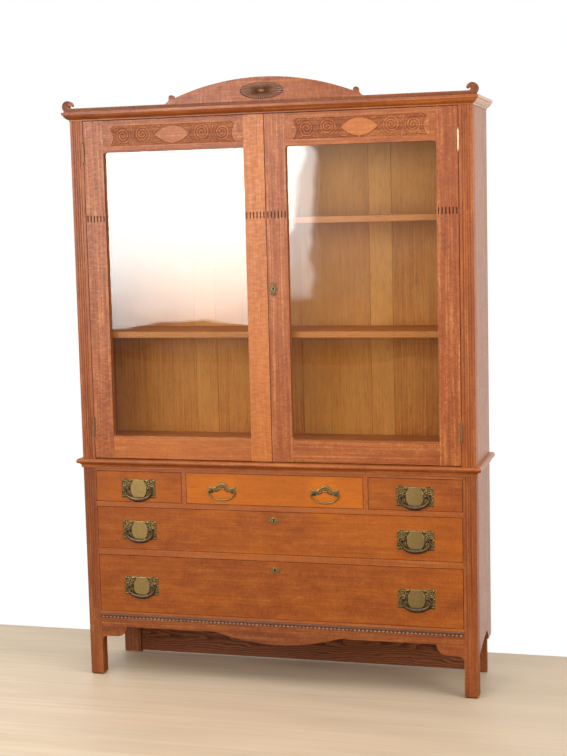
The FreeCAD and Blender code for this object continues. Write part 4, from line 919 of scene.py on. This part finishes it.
def flat_plate(outlines, thick, rounding):
    """A plate cut to smooth outlines in mm, the first its edge and the others its holes."""
    plate = added(bpy.ops.curve.primitive_bezier_circle_add)
    sheet = plate.data
    sheet.dimensions = "2D"
    sheet.fill_mode = "BOTH"
    sheet.splines.clear()
    for outline in outlines:
        spline = sheet.splines.new("BEZIER")
        spline.bezier_points.add(len(outline) - 1)
        spline.use_cyclic_u = True
        for point, (x, z) in zip(spline.bezier_points, outline):
            point.co = (x * MM, z * MM, 0.0)
            point.handle_left_type = "AUTO"
            point.handle_right_type = "AUTO"
    sheet.resolution_u = 5
    sheet.extrude = (thick / 2 - rounding) * MM
    sheet.bevel_depth = rounding * MM
    sheet.bevel_resolution = 1
    sheet.offset = -rounding * MM
    plate = meshed(plate)
    plate.rotation_euler = (math.radians(90.0), 0.0, 0.0)
    fix_place()
    with all_in_edit_mode():
        face_outwards()
    smooth(plate, 50.0)
    return plate


def both_sides(half):
    """A half line of stations from the right end to the middle, and on to the left end."""
    return half + [(-x, *rest) for x, *rest in reversed(half[:-1])]


def mirrored_outline(half):
    """A half outline from top to bottom on the right, and back up on the left."""
    return half + [(-x, z) for x, z in reversed(half) if x > 0.01]


# Wide plate: a smooth vase between two ends of scrolled leaves with ragged edges, in mm
PLATE_WIDE, PLATE_HIGH = 117.0, 62.0
VASE_LEVELS = (-31.0, -26.0, -20.0, -10.0, 0.0, 8.0, 15.0, 22.0, 31.0)
VASE_HALVES = (16.5, 21.5, 26.0, 29.5, 30.0, 28.5, 24.0, 21.0, 20.0)
CURL_PITCH = 5.6
CURLS = (((45.0, 17.5), 13.0, 1.0, 0.6), ((44.0, -17.0), 13.5, -1.0, 2.6))
PLATE_LEAVES = (
    ((25.0, 26.0), 0.0, 14.0, -50.0, 3.6), ((54.0, 2.0), 80.0, 12.0, 60.0, 3.4),
    ((54.0, 0.0), -80.0, 12.0, -60.0, 3.4), ((33.0, -27.0), 0.0, 12.0, 40.0, 3.2),
    ((30.0, 13.0), 30.0, 9.0, 60.0, 2.6), ((32.0, -4.0), 0.0, 9.0, -60.0, 2.6),
    ((52.0, 27.0), -10.0, 7.0, -60.0, 2.6), ((52.0, -27.0), 10.0, 7.0, 60.0, 2.6))


def leafy_plate(u, w):
    side = np.abs(u)
    vase = soft_step((np.interp(w, VASE_LEVELS, VASE_HALVES) - side) / 2.2)
    raised = np.zeros_like(u)
    for middle, outer, hand, start in CURLS:
        away = from_spiral(side, w, middle, outer, CURL_PITCH, hand, start)
        raised = np.maximum(raised, soft_step(1.0 - (away - 0.8) / 1.3))
    for leaf in PLATE_LEAVES:
        raised = np.maximum(raised, leaf_tip(side, w, *leaf))
    edge = np.minimum(PLATE_WIDE / 2 - side, PLATE_HIGH / 2 - np.abs(w))
    belly = 2.2 + 0.5 * np.cos(np.clip(side / 30.0, 0, 1) * 1.5)
    out = 0.9 + 1.7 * raised * (1.0 - vase) + vase * belly
    out = out * (0.35 + 0.65 * soft_step(edge / 1.6))
    dark = (1.0 - vase) * (0.66 - 0.44 * raised) + 0.35 * soft_step(1.0 - np.abs(vase - 0.5) / 0.4)
    ragged = soft_step((side - 44.0) / 14.0)
    u = u + np.sign(u) * ragged * 1.3 * np.cos(w * math.tau / 9.0)
    w = w * (1.0 + 0.03 * soft_step((side - 24.0) / 6.0) * np.cos(side * math.tau / 8.0))
    return u, w, out, np.clip(dark, 0.0, 1.0)


wide_plate = relief_piece(PLATE_WIDE, PLATE_HIGH, 0.8, leafy_plate, 0.0)
wide_post = turned([(1.0, 7.4), (3.4, 7.4), (4.4, 6.4), (4.8, 4.4), (6.6, 3.6), (8.6, 3.8), (10.4, 4.8),
                    (11.6, 4.4), (12.2, 3.2)])
post_tip = turned([(10.0, 2.9), (12.4, 2.9), (13.2, 2.2), (13.6, 0.9)], sides=14)
wide_bail = bent_rod(both_sides([
    (32.0, -5.0, 2.2), (32.5, 1.5, 2.4), (37.0, 2.2, 2.6), (42.5, 2.2, 2.9), (46.5, -4.0, 2.9),
    (45.0, -15.0, 3.4), (36.0, -26.5, 4.7), (19.0, -34.0, 6.6), (0.0, -36.0, 7.2)]), 0.62)

# Narrow plate: an arched band with fish-tail ends, and a smaller arch with two drops inside it
narrow_bail = bent_rod(both_sides([
    (38.0, 0.4, 2.1), (43.5, 1.0, 2.2), (46.0, -4.0, 2.0), (43.0, -13.0, 2.1), (32.0, -22.5, 2.3),
    (17.0, -27.5, 2.8), (0.0, -29.0, 3.1)]), 0.9)
arched_band = flat_plate([mirrored_outline([
    (0.0, 28.0), (9.0, 26.0), (16.0, 20.5), (22.0, 14.5), (28.0, 12.5), (36.0, 13.5), (46.0, 15.0),
    (44.5, 6.0), (47.0, -2.0), (45.0, -8.5), (37.0, -8.0), (30.0, -6.0), (24.0, 0.0), (17.0, 7.5),
    (9.0, 14.5), (0.0, 16.5)])], 3.0, 1.2)
band_rib = bent_rod(both_sides([
    (44.0, 11.0, 1.3), (34.0, 8.5, 1.5), (26.0, 7.0, 1.7), (18.0, 12.5, 1.9), (9.0, 20.5, 2.1),
    (0.0, 23.5, 2.2)]), 0.8)
inner_arch = flat_plate([mirrored_outline([
    (0.0, 15.0), (6.0, 13.0), (11.0, 7.5), (17.0, 2.0), (25.0, -1.0), (22.0, -3.5), (14.0, -1.5),
    (8.5, 3.5), (4.5, 8.5), (0.0, 10.0)])], 2.2, 0.7)
drop = turned([(0.4, 2.6), (1.4, 3.4), (2.6, 3.2), (3.4, 2.2), (3.8, 0.8)], sides=14)
narrow_post = turned([(1.0, 6.2), (2.4, 6.2), (3.4, 5.0), (4.4, 4.2), (7.0, 4.0), (9.2, 4.4), (11.0, 4.6),
                      (12.2, 3.6), (12.7, 1.2)])

# Half the distance of a pull's posts and drops, and how far up the drops hang
POST_HALF = 36.0 * MM
DROP_HALF, DROP_UP = 4.2 * MM, 6.0 * MM
# Parts of a narrow pull with how far out they lie in mm
NARROW_PARTS = (
    ("band", arched_band, 1.2, DULL_BRASS), ("rib", band_rib, 2.6, BRASS), ("arch", inner_arch, 1.0, BRONZE))
for drawer in ("top_left_drawer", "top_right_drawer", "top_middle_drawer", "middle_drawer", "bottom_drawer"):
    behind_front(drawer + "_plates", drawer + "_bolts", drawer)
    narrow = drawer == "top_middle_drawer"
    for hinge in BAIL_HINGES:
        if hinge["parent"] != drawer:
            continue
        x, pivot_y, z = hinge["pos_m"]
        bail_node = hinge["child"]
        pull = bail_node.replace("bail", "pull")
        for side, hand in (("left", -1), ("right", 1)):
            post = copied(narrow_post if narrow else wide_post, x + hand * POST_HALF, FRONT, z)
            settle(post, pull + "_" + side + "_post", drawer, "brass", material=BRONZE)
            tip = copied(post_tip, x + hand * POST_HALF, FRONT, z)
            settle(tip, pull + "_" + side + "_tip", drawer, "brass", material=DULL_BRASS)
        if narrow:
            for word, pattern, out, finish in NARROW_PARTS:
                part = copied(pattern, x, FRONT - out * MM, z)
                settle(part, pull + "_" + word, drawer, "brass", material=finish)
            for side, hand in (("left", -1), ("right", 1)):
                hanging = copied(drop, x + hand * DROP_HALF, FRONT, z + DROP_UP)
                settle(hanging, pull + "_" + side + "_drop", drawer, "brass")
        else:
            settle(copied(wide_plate, x, FRONT, z), pull + "_plate", drawer, "brass")
        bail = copied(narrow_bail if narrow else wide_bail, x, pivot_y, z)
        settle(bail, bail_node + "_cast", bail_node, "brass", (bail_node,), DULL_BRASS if narrow else BRONZE)
for pattern in (wide_plate, wide_post, post_tip, wide_bail, narrow_bail, arched_band, band_rib, inner_arch,
                drop, narrow_post):
    bpy.data.objects.remove(pattern)

# Key plates with their keyholes, in mm
KEYHOLE = [(0.0, 5.6), (2.3, 4.6), (3.0, 2.4), (1.9, 0.4), (1.7, -3.0), (2.1, -6.4), (0.0, -6.8)]
HOLE_SPREAD = 1.15
wide_key_plate = flat_plate([mirrored_outline([
    (0.0, 12.5), (5.0, 9.6), (10.0, 9.2), (13.5, 4.0), (20.0, 0.0), (13.5, -4.0), (10.0, -9.2),
    (5.0, -9.6), (0.0, -12.5)]), mirrored_outline(KEYHOLE)], 2.0, 0.6)
tall_key_plate = flat_plate([mirrored_outline([
    (0.0, 22.0), (3.4, 17.5), (8.6, 18.0), (9.2, 12.5), (6.6, 8.5), (11.6, 5.0), (11.6, -5.0),
    (6.6, -8.5), (9.2, -12.5), (8.6, -18.0), (3.4, -17.5), (0.0, -22.0)]), mirrored_outline(KEYHOLE)],
    2.0, 0.6)
key_rim = flat_plate([mirrored_outline([
    (0.0, 8.4), (3.8, 6.8), (5.6, 2.0), (4.6, -4.5), (3.4, -8.6), (0.0, -9.4)]),
    mirrored_outline(KEYHOLE)], 2.6, 0.8)
keyhole = flat_plate([mirrored_outline([(HOLE_SPREAD * x, HOLE_SPREAD * z) for x, z in KEYHOLE])], 0.6, 0.1)
for holder, x, level, pattern, plate_finish, rim_finish, wood in (
        ("middle_drawer", 0.0, 544.5, wide_key_plate, DULL_BRASS, BRASS, "oak_drawers"),
        ("bottom_drawer", 0.0, 382.5, wide_key_plate, DULL_BRASS, BRASS, "oak_drawers"),
        ("right_door", 18.0, 1284.0, tall_key_plate, BRONZE, DULL_BRASS, "oak_doors")):
    behind_front(holder + "_lock", holder + "_lock_case", holder)
    plate = copied(pattern, x * MM, FRONT - 0.8 * MM, level * MM)
    settle(plate, holder + "_key_plate", holder, "brass", material=plate_finish)
    rim = copied(key_rim, x * MM, FRONT - 1.2 * MM, level * MM)
    settle(rim, holder + "_key_rim", holder, "brass", material=rim_finish)
    # A dark sheet in the keyhole stands for the shade in it: painted shade
    hole = copied(keyhole, x * MM, FRONT - 0.35 * MM, level * MM)
    paint(hole, "grime_and_shade", np.ones(len(hole.data.vertices)))
    settle(hole, holder + "_keyhole", holder, wood)
for pattern in (wide_key_plate, tall_key_plate, key_rim, keyhole):
    bpy.data.objects.remove(pattern)

# Hinges; only the right upper one, above this level in metres, is rubbed bright
UPPER_HINGE_FROM = 1.5
for source in ("post_hinge_leaves", "left_door_fittings", "right_door_fittings"):
    piece = merged_copy(source, source + "_brass")
    ease(piece, 0.3)
    points = points_of(piece.data)
    bright = (points[:, 0] > 0.0) & (points[:, 2] > UPPER_HINGE_FROM)
    paint(piece, "grime_and_shade", np.where(bright, 0.0, 0.72))
    settle(piece, source + "_brass", BODY_OF[source], "brass", (source,), HINGE_BRASS)

# What is left as in the frame gets its finish
for name, thing in frame["nodes"].items():
    if not thing.hide_render:
        finish = GLASS if name.endswith("glass") else BRASS
        thing.data.materials.clear()
        thing.data.materials.append(finish)

# Floor, in metres; it ends a little behind the hutch
FLOOR_WIDE, FLOOR_DEEP, FLOOR_MIDDLE = 14.0, 10.36, -4.82
floor = added(bpy.ops.mesh.primitive_plane_add, size=1.0, location=(0.0, FLOOR_MIDDLE, 0.0))
floor.name = "floor"
floor.scale = (FLOOR_WIDE, FLOOR_DEEP, 1.0)
only(floor)
fix_place()
floor.data.materials.append(pale_boards("pale_floor_boards"))

# Light: white surroundings, dim only where the front faces mirror them, and a window in front to the
# left that the panes mirror
ROOM_LIGHT = 0.52
world = bpy.data.worlds.new("white_room")
bpy.context.scene.world = world
world.use_nodes = True
sky = world.node_tree
sky.nodes.clear()
path = node(sky, "LightPath", {}, out=None)
mirrored = node(sky, "Math", {0: path["Is Glossy Ray"], 1: path["Is Transmission Ray"]}, operation="MAXIMUM")
seen = node(sky, "Math", {0: mirrored, 1: path["Is Camera Ray"]}, operation="MAXIMUM")
heading = node(sky, "SeparateXYZ", {0: node(sky, "TexCoord", {}, out="Generated")}, out=None)
dim = node(sky, "MapRange", {"Value": heading["Y"], 1: -0.4, 2: -0.8, 3: 0.0, 4: 0.95})
dim = node(sky, "Math", {0: dim, 1: mirrored}, operation="MULTIPLY")
# A pale wall stands beside the window, and the dark rest of the room below and to the right of it
wall = node(sky, "MapRange", {"Value": heading["X"], 1: -0.26, 2: -0.18, 3: 1.0, 4: 0.25})
wall_foot = node(sky, "MapRange", {"Value": heading["Z"], 1: -0.1, 2: -0.03, 3: 0.0, 4: 1.0})
wall = node(sky, "Math", {0: wall, 1: wall_foot}, operation="MULTIPLY")
beside = node(sky, "Math", {0: 1.0, 1: wall}, operation="SUBTRACT")
dim = node(sky, "Math", {0: dim, 1: beside}, operation="MULTIPLY")
level = node(sky, "Math", {0: 1.0, 1: dim}, operation="SUBTRACT")
room = node(sky, "Background", {"Color": WHITE, "Strength": ROOM_LIGHT})
white = node(sky, "Background", {"Color": WHITE, "Strength": level})
either = node(sky, "MixShader", {0: seen, 1: room, 2: white})
node(sky, "OutputWorld", {"Surface": either}, out=None)

# Lamps: place in metres, turn in degrees, width and height in metres, power in watts
for name, middle, turn, width, height, power in (
        ("window", (-1.55, -3.5, 1.675), (90.0, 0.0, 0.0), 1.72, 1.55, 130.0),
        ("front", (-0.1, -4.2, 1.9), (90.0, 0.0, 0.0), 4.0, 2.4, 112.0),
        ("right_wall", (3.2, -1.2, 2.0), (90.0, 0.0, 70.0), 2.0, 2.4, 66.0),
        ("ceiling", (0.0, -1.2, 3.6), (0.0, 0.0, 0.0), 4.0, 3.0, 42.0)):
    lamp = bpy.data.lights.new(name, "AREA")
    lamp.shape = "RECTANGLE"
    lamp.size = width
    lamp.size_y = height
    lamp.energy = power
    holder = bpy.data.objects.new(name, lamp)
    bpy.context.scene.collection.objects.link(holder)
    holder.location = middle
    holder.rotation_euler = [math.radians(angle) for angle in turn]
    # The window is what the panes mirror, the front lamp what lights the wood
    holder.visible_diffuse = name != "window"
    holder.visible_glossy = name != "front"
    holder.visible_transmission = name != "front"

# The window fades towards its sill, and a thin curtain with a few slow folds hangs at its right edge
FOLDS = 6.0
window = bpy.data.lights["window"]
window.use_nodes = True
panes = window.node_tree
panes.nodes.clear()
across = node(panes, "NewGeometry", {}, out="Parametric")
place = node(panes, "SeparateXYZ", {0: across}, out=None)
sill = node(panes, "MapRange", {"Value": place["Y"], 1: 0.0, 2: 0.42, 3: 0.27, 4: 1.0})
down = node(panes, "Math", {0: place["Y"], 1: FOLDS}, operation="MULTIPLY")
ripple = node(panes, "TexNoise", {"W": down, "Scale": 1.0, "Detail": 2.0}, noise_dimensions="1D")
slant = node(panes, "Math", {0: place["Y"], 1: -0.16, 2: place["X"]}, operation="MULTIPLY_ADD")
slant = node(panes, "Math", {0: ripple, 1: 0.1, 2: slant}, operation="MULTIPLY_ADD")
folds = node(panes, "MapRange", {"Value": slant, 1: 0.875, 2: 0.905, 3: 1.0, 4: 0.36})
edge = node(panes, "Math", {0: ripple, 1: 0.1, 2: place["X"]}, operation="MULTIPLY_ADD")
hem = node(panes, "MapRange", {"Value": edge, 1: 1.015, 2: 1.035, 3: 1.0, 4: 0.1})
curtain = node(panes, "Math", {0: folds, 1: hem}, operation="MULTIPLY")
# Below the curtain's foot, at the right above the sill, it is dark
lifted = node(panes, "MapRange", {"Value": place["X"], 1: 0.78, 2: 0.84, 3: 0.0, 4: 1.0})
short = node(panes, "MapRange", {"Value": place["Y"], 1: 0.07, 2: 0.11, 3: 1.0, 4: 0.0})
open_foot = node(panes, "Math", {0: lifted, 1: short}, operation="MULTIPLY")
foot = node(panes, "Math", {0: 1.0, 1: open_foot}, operation="SUBTRACT")
curtain = node(panes, "Math", {0: curtain, 1: foot}, operation="MULTIPLY")
lit = node(panes, "Math", {0: sill, 1: curtain}, operation="MULTIPLY")
glow = node(panes, "Emission", {"Strength": lit})
node(panes, "OutputLight", {"Surface": glow}, out=None)

# Camera, as the photograph was taken: place in metres, angles in degrees, lens in mm
CAMERA_PLACE = (1.31872, -4.5998, 1.52947)
YAW, PITCH, ROLL = (math.radians(angle) for angle in (15.936, 6.46, -1.427))
LENS, SENSOR = 70.61, 36.0
level_right = Vector((math.cos(YAW), math.sin(YAW), 0.0))
level_ahead = Vector((-math.sin(YAW), math.cos(YAW), 0.0))
up = Vector((0.0, 0.0, 1.0))
ahead = level_ahead * math.cos(PITCH) - up * math.sin(PITCH)
above = up * math.cos(PITCH) + level_ahead * math.sin(PITCH)
camera_right = level_right * math.cos(ROLL) + above * math.sin(ROLL)
camera_up = above * math.cos(ROLL) - level_right * math.sin(ROLL)
lens = bpy.data.cameras.new("camera")
lens.lens = LENS
lens.sensor_width = SENSOR
lens.clip_start = 0.1
lens.clip_end = 60.0
camera = bpy.data.objects.new("camera", lens)
bpy.context.scene.collection.objects.link(camera)
turn = Matrix((camera_right, camera_up, -ahead)).transposed()
camera.matrix_world = Matrix.Translation(CAMERA_PLACE) @ turn.to_4x4()
bpy.context.scene.camera = camera
bpy.context.scene.view_settings.view_transform = "Standard"
